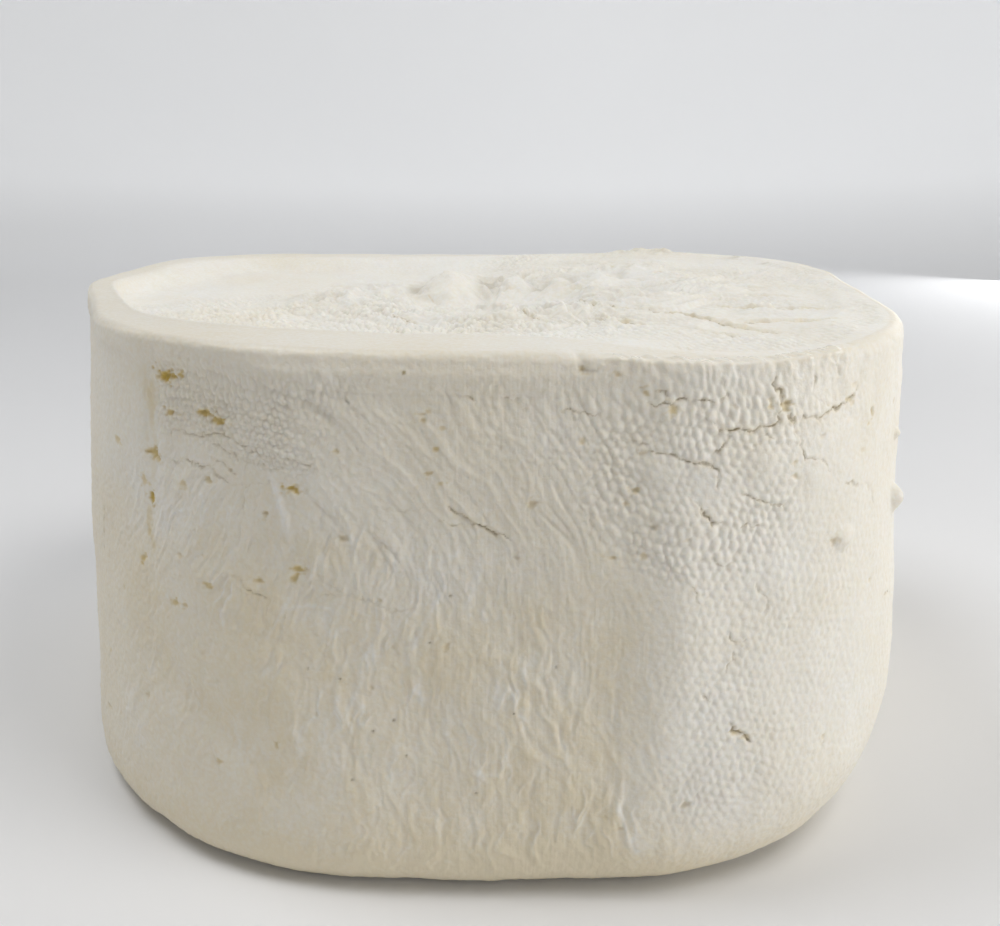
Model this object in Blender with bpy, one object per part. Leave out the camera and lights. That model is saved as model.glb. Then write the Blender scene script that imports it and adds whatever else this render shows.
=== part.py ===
"""Queso blanco: one big block of fresh white cheese, as it comes out of its pressing cloth.

The block is a single solid. Its plan is a rounded oblong, its wall leans out a little towards
the base, and its top is sunk inside a smooth raised lip that fades out towards the right.
The scar where the cloth was tied sits in the middle of the top, with folds running from it.
X is the long way across, Y is the depth with the front at -Y, and Z is up from the flat base.
"""

import math

import bmesh
import bpy
from mathutils import Matrix, Vector

MM = 0.001

# Sizes in millimetres, and bearings in degrees counter-clockwise from the right-hand end.
HEIGHT = 140.0

# The plan is a belt drawn tight round four upright posts: middle x, middle y and radius.
PLAN_POSTS = {
    "front_left": (-15.0, -3.0, 103.0),
    "front_right": (49.0, -35.0, 76.0),
    "back_right": (71.0, 44.0, 59.0),
    "back_left": (-78.0, 45.0, 51.0),
}
BELT_SOFTNESS = 5.0

# The wall leans out towards the base, most of all at the front left.
LEAN_MEAN = 3.1
LEAN_SWING = 3.2
LEAN_BEARING = 212.0
BELLY = 2.6
BELLY_X = 20.0
BELLY_REACH = 46.0

# A slanting trough low at the front left.
TROUGH_X = -66.0
TROUGH_HEIGHT = 44.0
TROUGH_DEPTH = 1.6

# The rounding under the wall is tight, but broad round the front right corner.
FOOT_PLAIN = 10.5
FOOT_CORNER = 24.0
FOOT_BEARING = -22.0
FOOT_REACH = 46.0
FOOT_DEPTH_RATIO = 0.8

# The rounding over the wall is tight along the lip and softer at the right.
EDGE_LEFT = 2.4
EDGE_RIGHT = 3.6

# The lip and the sunken middle of the top.
LIP_WIDTH_END = 10.0
LIP_WIDTH_FRONT = 24.0
LIP_WIDTH_BACK = 13.0
LIP_SLOPE = 4.5
SINK_LEFT = 5.0
SINK_RIGHT = 0.7
RIGHT_DIP = 2.4
BACK_RISE = 1.5

# The tie scar: x, y, half length, half width and depth of each hollow.
SCAR = {
    "bed": (10.0, 5.0, 31.0, 20.0, 2.2),
    "main_pit": (-10.0, 3.0, 12.0, 15.0, 6.5),
    "second_pit": (5.0, 3.0, 6.0, 10.0, 3.4),
    "third_pit": (18.0, 5.0, 8.0, 12.0, 3.6),
    "last_pit": (31.0, 7.0, 6.5, 9.0, 3.0),
}

# How finely the block is lofted.
BEARING_STEPS = 96
WALL_ROWS = 15
FOOT_ROWS = 5
EDGE_ROWS = 3
TOP_ROWS = 11

BLOCK = "cheese_block"


def smooth_step(value):
    """Ease from 0 to 1 as the value goes from 0 to 1."""
    value = min(max(value, 0.0), 1.0)
    return value * value * (3.0 - 2.0 * value)


def bump(distance, reach):
    """A soft hump, 1 in the middle and almost nothing at twice its reach."""
    return math.exp(-(distance / reach) ** 2)


def belt_radius(bearing):
    """How far the tight belt lies from the middle of the plan, at a bearing in radians."""
    nearest = 1000.0
    for step in range(-160, 161):
        normal = bearing + math.radians(step * 0.5)
        support = max(
            x * math.cos(normal) + y * math.sin(normal) + radius
            for x, y, radius in PLAN_POSTS.values()
        )
        nearest = min(nearest, support / math.cos(normal - bearing))
    return nearest


def plan_radius(bearing):
    """The belt, eased where its straight runs meet the posts."""
    total = 0.0
    weights = ((-1.0, 1.0), (-0.5, 2.0), (0.0, 2.0), (0.5, 2.0), (1.0, 1.0))
    for shift, weight in weights:
        total += weight * belt_radius(bearing + math.radians(shift * BELT_SOFTNESS))
    return total / sum(weight for _, weight in weights)


def foot_height(bearing):
    """Height of the rounding under the wall."""
    away = (math.degrees(bearing) - FOOT_BEARING + 180.0) % 360.0 - 180.0
    return FOOT_PLAIN + FOOT_CORNER * bump(away, FOOT_REACH)


def rightness(bearing):
    """0 along the lip at the left and the front left, 1 round the right-hand end."""
    degrees = math.degrees(bearing) % 360.0
    if degrees > 180.0:
        return smooth_step((degrees - 282.0) / 28.0)
    return smooth_step((112.0 - degrees) / 45.0)


def edge_radius(bearing):
    """Radius of the rounding over the wall."""
    return EDGE_LEFT + (EDGE_RIGHT - EDGE_LEFT) * rightness(bearing)


def wall_waves(bearing, height):
    """The slow unevenness that the cloth leaves in the wall."""
    turn = bearing
    waves = 0.55 * math.sin(3.0 * turn + 0.045 * height + 0.6)
    waves += 0.40 * math.sin(7.0 * turn - 0.060 * height + 2.1)
    waves += 0.25 * math.sin(13.0 * turn + 0.090 * height + 4.0)
    return waves * smooth_step(height / 30.0)


def wall_radius(bearing, height, plan):
    """How far the wall stands from the middle, before the foot and the edge are rounded."""
    fall = (HEIGHT - height) / HEIGHT
    lean = LEAN_MEAN + LEAN_SWING * math.cos(bearing - math.radians(LEAN_BEARING))
    radius = plan + lean * fall + wall_waves(bearing, height)
    if math.sin(bearing) < 0.0:
        x = plan * math.cos(bearing)
        front = bump(x - BELLY_X, BELLY_REACH) * smooth_step(-math.sin(bearing) * 2.0 - 1.0)
        radius += front * (BELLY * math.sin(math.pi * min(fall * 1.15, 1.0)) - 1.0 + fall)
        trough = bump(height - TROUGH_HEIGHT, 12.0)
        trough *= bump(x - TROUGH_X + height - TROUGH_HEIGHT, 8.0)
        radius -= TROUGH_DEPTH * trough
    radius += 0.7 * (1.0 - rightness(bearing)) * smooth_step((height - 131.0) / 4.0)
    return radius


def lip_width(bearing):
    """Width of the smooth lip round the sunken top."""
    degrees = math.degrees(bearing) % 360.0
    if degrees >= 180.0:
        ending = smooth_step((degrees - 300.0) / 60.0)
        front = smooth_step((degrees - 190.0) / 60.0) * (1.0 - ending)
        width = LIP_WIDTH_END + (LIP_WIDTH_FRONT - LIP_WIDTH_END) * front
        return width + (LIP_WIDTH_BACK - LIP_WIDTH_END) * ending
    back = smooth_step((170.0 - degrees) / 50.0)
    return LIP_WIDTH_END + (LIP_WIDTH_BACK - LIP_WIDTH_END) * back


def scar_depth(x, y):
    """Depth of the hollows that the tied cloth pressed into the top."""
    depth = 0.0
    for middle_x, middle_y, half_length, half_width, deep in SCAR.values():
        across = (x - middle_x) / half_length
        along = (y - middle_y) / half_width
        reach = across * across + along * along
        depth += deep * math.exp(-reach * reach)
    return depth


def fan_waves(x, y):
    """The folds that fan out from the scar across the top."""
    out_x = x - 8.0
    out_y = y - 4.0
    reach = math.hypot(out_x, out_y)
    turn = math.atan2(out_y, out_x)
    fan = math.sin(11.0 * turn + 0.4) + 0.6 * math.sin(17.0 * turn + 1.9)
    return 0.45 * fan * smooth_step((reach - 8.0) / 20.0) * smooth_step((95.0 - reach) / 45.0)


def top_height(x, y, inward, bearing):
    """Height of the top at a place that lies so far inward from the wall."""
    sink = SINK_LEFT + (SINK_RIGHT - SINK_LEFT) * smooth_step((x + 25.0) / 95.0)
    inside = smooth_step((inward - lip_width(bearing) + 1.0) / LIP_SLOPE)
    height = HEIGHT - sink * inside
    height -= RIGHT_DIP * bump(math.hypot(x - 68.0, y + 100.0), 34.0)
    height += BACK_RISE * bump(math.hypot(x - 84.0, y - 70.0), 48.0)
    return height - scar_depth(x, y) + fan_waves(x, y) * inside


def section(bearing):
    """One upright half section through the block: distance out and height, base to middle."""
    plan = plan_radius(bearing)
    foot = foot_height(bearing)
    edge = edge_radius(bearing)
    points = []
    stand = wall_radius(bearing, 0.0, plan) - FOOT_DEPTH_RATIO * foot
    points.append((0.55 * stand, 0.0))
    for row in range(FOOT_ROWS):
        turn = 0.5 * math.pi * (1.0 - row / FOOT_ROWS)
        height = foot * (1.0 - math.sin(turn))
        inset = FOOT_DEPTH_RATIO * foot * (1.0 - math.cos(turn))
        points.append((wall_radius(bearing, height, plan) - inset, height))
    rim = wall_radius(bearing, HEIGHT, plan)
    rim_height = top_height(
        rim * math.cos(bearing), rim * math.sin(bearing), edge, bearing
    )
    wall_top = rim_height - edge
    for row in range(WALL_ROWS + 1):
        height = foot + (wall_top - foot) * row / WALL_ROWS
        points.append((wall_radius(bearing, height, plan), height))
    for row in range(1, EDGE_ROWS):
        turn = 0.5 * math.pi * row / EDGE_ROWS
        points.append((
            rim - edge * (1.0 - math.cos(turn)),
            wall_top + edge * math.sin(turn),
        ))
    lip = lip_width(bearing)
    inward_rows = [edge, edge + 0.5 * (lip - edge), lip - 1.0, lip + 1.2, lip + LIP_SLOPE - 1.0]
    inner = rim - inward_rows[-1]
    for row in range(1, TOP_ROWS):
        inward_rows.append(rim - inner * (1.0 - row / TOP_ROWS))
    for inward in inward_rows:
        out = rim - inward
        x = out * math.cos(bearing)
        y = out * math.sin(bearing)
        points.append((out, top_height(x, y, inward, bearing)))
    return points


def loft_block():
    """Loft the sections round the block into one closed body."""
    shape = bmesh.new()
    rings = []
    for step in range(BEARING_STEPS):
        bearing = 2.0 * math.pi * step / BEARING_STEPS
        ring = []
        for out, height in section(bearing):
            place = (out * math.cos(bearing) * MM, out * math.sin(bearing) * MM, height * MM)
            ring.append(shape.verts.new(place))
        rings.append(ring)
    base_middle = shape.verts.new((0.0, 0.0, 0.0))
    top_middle = shape.verts.new((0.0, 0.0, top_height(0.0, 0.0, 100.0, 0.0) * MM))
    for step in range(BEARING_STEPS):
        near = rings[step]
        far = rings[(step + 1) % BEARING_STEPS]
        shape.faces.new((base_middle, far[0], near[0]))
        for row in range(len(near) - 1):
            shape.faces.new((near[row], far[row], far[row + 1], near[row + 1]))
        shape.faces.new((near[-1], far[-1], top_middle))
    bmesh.ops.triangulate(shape, faces=shape.faces)
    mesh = bpy.data.meshes.new(BLOCK)
    shape.to_mesh(mesh)
    shape.free()
    return bpy.data.objects.new(BLOCK, mesh)


def on_wall(bearing_degrees, height):
    """The place on the wall at a bearing and a height, and its way out, in millimetres."""
    bearing = math.radians(bearing_degrees)
    here = wall_radius(bearing, height, plan_radius(bearing))
    ahead_bearing = bearing + 0.02
    ahead = wall_radius(ahead_bearing, height, plan_radius(ahead_bearing))
    place = Vector((here * math.cos(bearing), here * math.sin(bearing), height))
    step = Vector((ahead * math.cos(ahead_bearing), ahead * math.sin(ahead_bearing), height)) - place
    out = step.cross(Vector((0.0, 0.0, 1.0))).normalized()
    return place, out


def on_top(x, y):
    """The place on the top over x and y, and its way out, in millimetres."""
    bearing = math.atan2(y, x)
    inward = wall_radius(bearing, HEIGHT, plan_radius(bearing)) - math.hypot(x, y)
    return Vector((x, y, top_height(x, y, inward, bearing))), Vector((0.0, 0.0, 1.0))


def ball(name, home, place, out, size, detail, rise):
    """A ball squashed to length, height and depth, set into a face and raised out of it."""
    bpy.ops.mesh.primitive_ico_sphere_add(subdivisions=detail, radius=1.0)
    lump = bpy.context.active_object
    lump.name = name
    lump.rotation_euler = out.to_track_quat("Y", "Z").to_euler()
    lump.scale = (0.5 * size[0] * MM, size[2] * MM, 0.5 * size[1] * MM)
    lump.location = (place + out * rise) * MM
    bpy.context.view_layer.update()
    lump.data.transform(lump.matrix_world)
    lump.matrix_world.identity()
    for collection in list(lump.users_collection):
        collection.objects.unlink(lump)
    home.objects.link(lump)
    return lump


def slit(name, home, stations, width):
    """A round-bottomed cut that follows places on a face and thins out at both ends."""
    curve = bpy.data.curves.new(name, "CURVE")
    curve.dimensions = "3D"
    curve.bevel_depth = 0.5 * width * MM
    curve.bevel_resolution = 1
    curve.use_fill_caps = True
    line = curve.splines.new("POLY")
    line.points.add(len(stations) - 1)
    for number, (place, out) in enumerate(stations):
        spot = (place + out * 0.12 * width) * MM
        line.points[number].co = (spot.x, spot.y, spot.z, 1.0)
        ends = number in (0, len(stations) - 1)
        line.points[number].radius = 0.45 if ends else 1.0
    tube = bpy.data.objects.new(name + "_curve", curve)
    home.objects.link(tube)
    bpy.context.view_layer.update()
    mesh = bpy.data.meshes.new_from_object(
        tube.evaluated_get(bpy.context.evaluated_depsgraph_get())
    )
    shape = bmesh.new()
    shape.from_mesh(mesh)
    bmesh.ops.remove_doubles(shape, verts=shape.verts, dist=0.00002)
    bmesh.ops.recalc_face_normals(shape, faces=shape.faces)
    shape.to_mesh(mesh)
    shape.free()
    cut = bpy.data.objects.new(name, mesh)
    bpy.data.objects.remove(tube)
    home.objects.link(cut)
    return cut


def add_lumps(home):
    """Curd lumps, blisters, nubs and back-edge crumbs, each half buried in the block."""
    wall_lumps = {
        "blister_upper": (-68.0, 114.0, (13.0, 10.0, 3.0), -1.9),
        "blister_right": (-57.0, 115.0, (14.0, 11.0, 3.0), -1.9),
        "lump_corner": (-51.0, 110.0, (12.0, 10.0, 3.0), -2.0),
        "nub_corner": (-46.0, 91.5, (7.0, 6.0, 3.0), -0.8),
        "curd_lump": (-67.0, 128.7, (9.0, 6.0, 2.4), -1.4),
        "bump_right_end": (-29.0, 91.0, (4.4, 5.0, 2.4), -0.5),
    }
    for name, (bearing, height, size, rise) in wall_lumps.items():
        place, out = on_wall(bearing, height)
        ball(name, home, place, out, size, 2, rise)
    crumbs = {
        "crumb_left": (62.0, 100.4, (8.0, 4.0, 2.6), -0.6),
        "crumb_mid": (68.0, 100.0, (9.0, 5.4, 3.2), -1.0),
        "crumb_right": (74.6, 98.0, (8.0, 4.8, 2.8), -0.5),
        "crumb_far_right": (105.0, 80.0, (8.0, 4.6, 3.0), -1.6),
    }
    for name, (x, y, size, rise) in crumbs.items():
        place, out = on_top(x, y)
        ball(name, home, place + out * rise, Vector((0.0, 1.0, 0.0)), size, 2, 0.0)


def add_whey_holes(home):
    """Holes that the whey left, mostly down the mould seam at the front left."""
    holes = {
        "hole_seam_top": (-131.5, 129.0, (5.0, 3.4, 2.2)),
        "hole_seam_top_small": (-128.0, 130.0, (2.2, 1.8, 1.4)),
        "hole_seam_second": (-130.5, 120.0, (3.6, 2.0, 1.5)),
        "hole_seam_third": (-134.5, 108.0, (4.0, 2.0, 1.6)),
        "hole_seam_fourth": (-135.5, 96.0, (2.0, 3.4, 1.6)),
        "hole_seam_fifth": (-137.0, 83.0, (2.4, 2.8, 1.3)),
        "hole_seam_sixth": (-130.0, 70.0, (3.2, 2.2, 1.3)),
        "hole_left_low": (-124.0, 78.0, (3.0, 1.6, 1.3)),
        "hole_front_left": (-111.5, 106.0, (2.6, 2.0, 1.3)),
        "hole_front_low": (-111.0, 85.0, (2.0, 2.6, 1.3)),
        "hole_right_upper": (-54.0, 127.0, (3.0, 5.0, 1.9)),
        "hole_curd": (-66.0, 126.5, (2.6, 1.8, 1.4)),
        "hole_nub": (-48.2, 90.0, (2.2, 2.8, 1.5)),
    }
    for name, (bearing, height, size) in holes.items():
        place, out = on_wall(bearing, height)
        ball(name, home, place, out, size, 1, 0.1)


def add_cracks(home):
    """Cracks that opened in the wall as the curd was pressed."""
    cracks = {
        "crack_middle": (((-90.5, 101.0), (-88.0, 99.5), (-86.0, 97.0), (-84.0, 96.0)), 1.7),
        "crack_curd": (((-68.5, 131.0), (-66.5, 129.7), (-64.0, 129.0), (-62.0, 129.0)), 1.7),
        "crack_blister": (((-69.0, 117.3), (-66.6, 118.0), (-64.5, 116.0), (-62.0, 113.5)), 1.7),
        "crack_drop": (((-64.5, 127.0), (-62.5, 123.0), (-60.5, 121.0), (-58.0, 121.0)), 1.5),
        "crack_right": (((-53.8, 123.0), (-50.0, 123.0), (-47.5, 124.0), (-45.0, 126.5)), 1.8),
        "crack_fall": (((-53.5, 122.0), (-52.8, 118.0), (-52.0, 113.0)), 1.2),
        "crack_seam": (((-131.5, 114.5), (-126.0, 116.0), (-120.5, 117.0), (-115.5, 116.0)), 1.2),
        "crack_left": (((-121.0, 84.0), (-118.0, 81.0), (-115.0, 79.0)), 1.3),
        "crack_low_right": (((-59.5, 48.5), (-58.3, 45.5), (-57.0, 43.0)), 1.9),
        "crack_low_curve": (((-59.0, 69.5), (-60.2, 66.0), (-61.0, 62.0)), 1.4),
        "lip_notch": (((-76.2, 132.0), (-76.2, 135.0), (-76.0, 138.5), (-75.9, 142.0)), 2.0),
    }
    for name, (stations, width) in cracks.items():
        slit(name, home, [on_wall(bearing, height) for bearing, height in stations], width)


def add_fold_grooves(home):
    """The long creases of the gathered cloth, across the right half of the top."""
    grooves = {
        "groove_front": (((24.0, -22.0), (42.0, -33.0), (60.0, -47.0), (78.0, -58.0)), 2.2),
        "groove_second": (((38.0, -9.0), (56.0, -24.0), (76.0, -39.0), (96.0, -50.0)), 2.4),
        "groove_third": (((70.0, -12.0), (84.0, -19.0), (98.0, -28.0)), 2.4),
        "groove_short": (((62.0, 6.0), (76.0, 1.0), (90.0, -4.0)), 2.0),
    }
    for name, (stations, width) in grooves.items():
        slit(name, home, [on_top(x, y) for x, y in stations], width)


def cheese_material():
    """Fresh white cheese: ivory, a little moist."""
    material = bpy.data.materials.new("cheese")
    material.use_nodes = True
    shader = material.node_tree.nodes["Principled BSDF"]
    shader.inputs["Base Color"].default_value = (0.76, 0.72, 0.62, 1.0)
    shader.inputs["Roughness"].default_value = 0.55
    shader.inputs["Metallic"].default_value = 0.0
    return material


def combine(block, home, operation):
    """Join a collection to the block, or cut it away, and drop what was used."""
    modifier = block.modifiers.new(home.name, "BOOLEAN")
    modifier.operation = operation
    modifier.operand_type = "COLLECTION"
    modifier.collection = home
    modifier.solver = "EXACT"
    bpy.context.view_layer.update()
    mesh = bpy.data.meshes.new_from_object(
        block.evaluated_get(bpy.context.evaluated_depsgraph_get())
    )
    block.modifiers.clear()
    block.data = mesh
    for used in list(home.objects):
        bpy.data.objects.remove(used)
    bpy.data.collections.remove(home)


def tidy_mesh(block):
    """Melt slivers that the joining left, and give the faces their shading."""
    shape = bmesh.new()
    shape.from_mesh(block.data)
    bmesh.ops.remove_doubles(shape, verts=shape.verts, dist=0.00004)
    bmesh.ops.dissolve_degenerate(shape, edges=shape.edges, dist=0.00003)
    bmesh.ops.triangulate(shape, faces=shape.faces)
    shape.to_mesh(block.data)
    shape.free()
    block.data.shade_smooth()
    block.data.set_sharp_from_angle(angle=math.radians(40.0))


def centre_plan(block):
    """Put the origin under the middle of the block's box, on the base."""
    corners = [Vector(corner) for corner in block.bound_box]
    middle = sum(corners, Vector()) / 8.0
    shift = Vector((-middle.x, -middle.y, 0.0))
    block.data.transform(Matrix.Translation(shift))


def make_collection(name):
    """A new collection in the scene."""
    collection = bpy.data.collections.new(name)
    bpy.context.scene.collection.children.link(collection)
    return collection


def main():
    """Build the block from nothing."""
    for old in list(bpy.data.objects):
        bpy.data.objects.remove(old)
    home = make_collection("queso_blanco")
    block = loft_block()
    home.objects.link(block)
    lumps = make_collection("lumps")
    add_lumps(lumps)
    combine(block, lumps, "UNION")
    cuts = make_collection("cuts")
    add_whey_holes(cuts)
    add_cracks(cuts)
    add_fold_grooves(cuts)
    combine(block, cuts, "DIFFERENCE")
    tidy_mesh(block)
    centre_plan(block)
    block.data.materials.clear()
    block.data.materials.append(cheese_material())


main()
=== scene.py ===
"""Queso blanco: the looks of one big block of fresh white cheese.

The block is one closed mesh in millimetres of real relief: the print of the pressing cloth,
the lines where the cloth was pulled, cracks, whey holes, blisters and the tied scar on top.
Places on the wall are given by their way round (millimetres to the right of the front middle)
and their height. Places on the top are given by x and y from the middle of the plan.
"""

import itertools
import math

import bpy
import numpy as np
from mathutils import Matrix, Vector


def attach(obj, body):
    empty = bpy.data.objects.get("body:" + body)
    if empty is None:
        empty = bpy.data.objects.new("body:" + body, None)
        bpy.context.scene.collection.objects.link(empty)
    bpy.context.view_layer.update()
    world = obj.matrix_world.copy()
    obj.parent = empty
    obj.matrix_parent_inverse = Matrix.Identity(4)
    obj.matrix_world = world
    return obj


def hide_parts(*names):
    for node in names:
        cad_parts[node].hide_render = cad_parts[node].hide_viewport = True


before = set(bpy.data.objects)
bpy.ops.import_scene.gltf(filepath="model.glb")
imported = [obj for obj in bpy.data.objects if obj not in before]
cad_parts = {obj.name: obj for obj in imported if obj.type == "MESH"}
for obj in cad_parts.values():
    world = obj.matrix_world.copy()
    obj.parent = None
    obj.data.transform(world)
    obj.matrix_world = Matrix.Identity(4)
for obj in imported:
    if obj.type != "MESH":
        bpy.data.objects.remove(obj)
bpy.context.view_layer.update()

MM = 0.001
NODE = "cheese_block"

# Sizes of the block in millimetres, as in the CAD source, but with a squarer left end.
HEIGHT = 140
# The plan is a belt round five posts: x, y and radius of each.
PLAN_POSTS = (
    (-15, -3, 103),
    (49, -35, 76),
    (71, 44, 59),
    (-91.3, 67.1, 35.3),
    (-114, 16.5, 18),
)
BELT_SOFTNESS = 5
LEAN_MEAN = 3.1
LEAN_SWING = 3.2
LEAN_BEARING = 212
BELLY = 2.6
BELLY_X = 20
BELLY_REACH = 46
TROUGH_X = -66
TROUGH_HEIGHT = 44
TROUGH_DEPTH = 1.6
FOOT_PLAIN = 10.5
FOOT_CORNER = 24
FOOT_BEARING = -22
FOOT_REACH = 46
FOOT_DEPTH_RATIO = 0.8
EDGE_LEFT = 2.4
EDGE_RIGHT = 3.6
LIP_WIDTH_END = 10
LIP_WIDTH_FRONT = 24
LIP_WIDTH_BACK = 13
LIP_SLOPE = 4.5
SINK_LEFT = 5
SINK_RIGHT = 0.7
RIGHT_DIP = 2.4
BACK_RISE = 1.5
# The scar's hollows: middle (x and y), half length, half width and depth of each.
SCAR = (
    (10, 5, 31, 20, 2.2),
    (-10, 3, 12, 15, 6.5),
    (5, 3, 6, 10, 3.4),
    (18, 5, 8, 12, 3.6),
    (31, 7, 6.5, 9, 3),
)
# The middle of the plan in the frame.
PLAN_SHIFT = (1.17, 5.37)

# How finely the block is meshed.
COLUMNS = 1344
FINE_STEP = 0.38
COARSE_STEP = 0.80
WALL_ROWS = 352
LIP_RINGS = 40
LIP_SHARE = 0.76
TOP_RINGS = 190
LAST_THINNING = 0.05
BASE_SHARES = (0.994, 0.985, 0.97, 0.94, 0.88, 0.76, 0.4)

# The print of the pressing cloth, and how much finer it is at the upper left.
BEAD_ACROSS = 2.5
BEAD_UP = 2.35
BEAD_DEPTH = 0.62
FINER_PRINT = 0.77

# Landmarks: the mould seam (so far to the left), the front right corner, the notch in the lip,
# the middle of the dragged arcs, the tip from which the wrinkles fall, the middle of the folds
# on the top, and the pit in front of the lobes with its reach and how far it is filled.
SEAM = 88
CORNER = 49
NOTCH = 28.5
ARC_MIDDLE = (-76, 60)
FALL_TIP = (6, 225)
FAN_MIDDLE = (8, 4)
PIT = (-10, 1)
PIT_REACH = 13
PIT_FILL = 3.6

# What is stored for the material at each point; gap is the distance to the nearest crack. The
# darkening field holds real dark specks and painted shade in creases, hollows and holes; warm is
# partly the curd's own tone and partly painted light and shade; split marks the dark bottoms of
# cracks, partly stain and partly painted shade.
PAINTS = ("whey", "dark", "warm", "moist", "split", "gap")
FAR_FROM_CRACK = 4

# The unwrapped skin on its square sheet: two strips of wall, and two discs above them.
SHEET_SIDE = 540
STRIP_EDGE = 2
STRIP_HEIGHT = 155
STRIP_STEP = 160
DISC_MIDDLE = (135, 430)
DISC_STEP = 268

# The floor, its backdrop and the lamps, in metres.
FLOOR_REACH = 1.3
FLOOR_CURVE = 0.9
BACKDROP_TOP = 2.4
FLOOR_SPOKES = 96
FRONT_GLOW = 0.02
BACK_GLOW = 0.37
LAMP_SIZE = 0.6
LAMP_TARGET = Vector((0, 0, 0.07))
LAMP_DISTANCE = 1.25


# ---------------------------------------------------------------- shapes as in the CAD source

def smooth_step(value):
    """Ease from 0 to 1 as the value goes from 0 to 1."""
    value = np.clip(value, 0, 1)
    return value * value * (3 - 2 * value)


def ramp(value, start, end):
    """Ease from 0 at start to 1 at end."""
    return smooth_step((value - start) / (end - start))


def fade(value, start, end):
    """Ease from 1 at start to 0 at end."""
    return 1 - ramp(value, start, end)


def between(value, start, full, fading, gone):
    """Ease from 0 to 1 and, further on, back to 0."""
    return ramp(value, start, full) * fade(value, fading, gone)


def bump(distance, reach):
    """A soft hump, 1 in the middle and almost nothing at twice its reach."""
    return np.exp(-((distance / reach) ** 2))


def belt_radius(bearing):
    """How far the belt round the posts lies from the middle of the plan."""
    normal = bearing[None, :] + np.radians(np.arange(-160, 161) * 0.5)[:, None]
    support = np.full(normal.shape, -math.inf)
    for x, y, radius in PLAN_POSTS:
        support = np.maximum(support, x * np.cos(normal) + y * np.sin(normal) + radius)
    return (support / np.cos(normal - bearing[None, :])).min(axis=0)


def plan_radius(bearing):
    """The belt, eased where its straight runs meet the posts."""
    total = np.zeros(bearing.shape)
    weights = ((-1, 1), (-0.5, 2), (0, 2), (0.5, 2), (1, 1))
    for shift, weight in weights:
        total += weight * belt_radius(bearing + math.radians(shift * BELT_SOFTNESS))
    return total / 8


def foot_height(bearing):
    """Height of the rounding under the wall."""
    away = (np.degrees(bearing) - FOOT_BEARING + 180) % 360 - 180
    return FOOT_PLAIN + FOOT_CORNER * bump(away, FOOT_REACH)


def rightness(bearing):
    """0 along the lip at the left and the front left, 1 round the right-hand end."""
    degrees = np.degrees(bearing) % 360
    front = smooth_step((degrees - 282) / 28)
    back = smooth_step((112 - degrees) / 45)
    return np.where(degrees > 180, front, back)


def edge_radius(bearing):
    """Radius of the rounding over the wall."""
    return EDGE_LEFT + (EDGE_RIGHT - EDGE_LEFT) * rightness(bearing)


def wall_waves(bearing, height):
    """The slow unevenness that the cloth leaves in the wall."""
    waves = 0.55 * np.sin(3 * bearing + 0.045 * height + 0.6)
    waves += 0.40 * np.sin(7 * bearing - 0.060 * height + 2.1)
    waves += 0.25 * np.sin(13 * bearing + 0.090 * height + 4)
    return waves * smooth_step(height / 30)


def wall_radius(bearing, height, plan):
    """How far the wall stands from the middle, before the foot and the edge are rounded."""
    fall = (HEIGHT - height) / HEIGHT
    lean = LEAN_MEAN + LEAN_SWING * np.cos(bearing - math.radians(LEAN_BEARING))
    radius = plan + lean * fall + wall_waves(bearing, height)
    x = plan * np.cos(bearing)
    front = bump(x - BELLY_X, BELLY_REACH) * smooth_step(-np.sin(bearing) * 2 - 1)
    swell = BELLY * np.sin(math.pi * np.minimum(fall * 1.15, 1)) - 1 + fall
    trough = bump(height - TROUGH_HEIGHT, 12) * bump(x - TROUGH_X + height - TROUGH_HEIGHT, 8)
    radius += np.where(np.sin(bearing) < 0, front * swell - TROUGH_DEPTH * trough, 0)
    return radius + 0.7 * (1 - rightness(bearing)) * smooth_step((height - 131) / 4)


def lip_width(bearing):
    """Width of the smooth lip round the sunken top."""
    degrees = np.degrees(bearing) % 360
    ending = smooth_step((degrees - 300) / 60)
    front = smooth_step((degrees - 190) / 60) * (1 - ending)
    width = LIP_WIDTH_END + (LIP_WIDTH_FRONT - LIP_WIDTH_END) * front
    width += (LIP_WIDTH_BACK - LIP_WIDTH_END) * ending
    back = smooth_step((170 - degrees) / 50)
    behind = LIP_WIDTH_END + (LIP_WIDTH_BACK - LIP_WIDTH_END) * back
    return np.where(degrees >= 180, width, behind)


def scar_depth(x, y):
    """Depth of the hollows that the tied cloth pressed into the top."""
    depth = np.zeros(np.shape(x))
    for middle_x, middle_y, half_length, half_width, deep in SCAR:
        reach = ((x - middle_x) / half_length) ** 2 + ((y - middle_y) / half_width) ** 2
        depth += deep * np.exp(-reach * reach)
    return depth


def fan_waves(x, y):
    """The folds that fan out from the scar across the top."""
    reach = np.hypot(x - FAN_MIDDLE[0], y - FAN_MIDDLE[1])
    turn = np.arctan2(y - FAN_MIDDLE[1], x - FAN_MIDDLE[0])
    fan = np.sin(11 * turn + 0.4) + 0.6 * np.sin(17 * turn + 1.9)
    return 0.45 * fan * smooth_step((reach - 8) / 20) * smooth_step((95 - reach) / 45)


def top_height(x, y, inward, bearing):
    """Height of the top at a place that lies so far inward from the wall."""
    sink = SINK_LEFT + (SINK_RIGHT - SINK_LEFT) * smooth_step((x + 25) / 95)
    degrees = np.degrees(bearing) % 360
    leftness = bump(degrees - 192, 42)
    backness = between(degrees, 60, 100, 150, 176)
    slope = LIP_SLOPE * (1 - 0.55 * leftness * (1 - backness) + 4 * backness)
    inside = smooth_step((inward - lip_width(bearing) + 1) / slope)
    height = HEIGHT - sink * inside
    height -= RIGHT_DIP * bump(np.hypot(x - 68, y + 100), 34)
    height += BACK_RISE * bump(np.hypot(x - 84, y - 70), 48)
    return height - scar_depth(x, y) + fan_waves(x, y) * inside


# ---------------------------------------------------------------- repeatable noise

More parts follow.
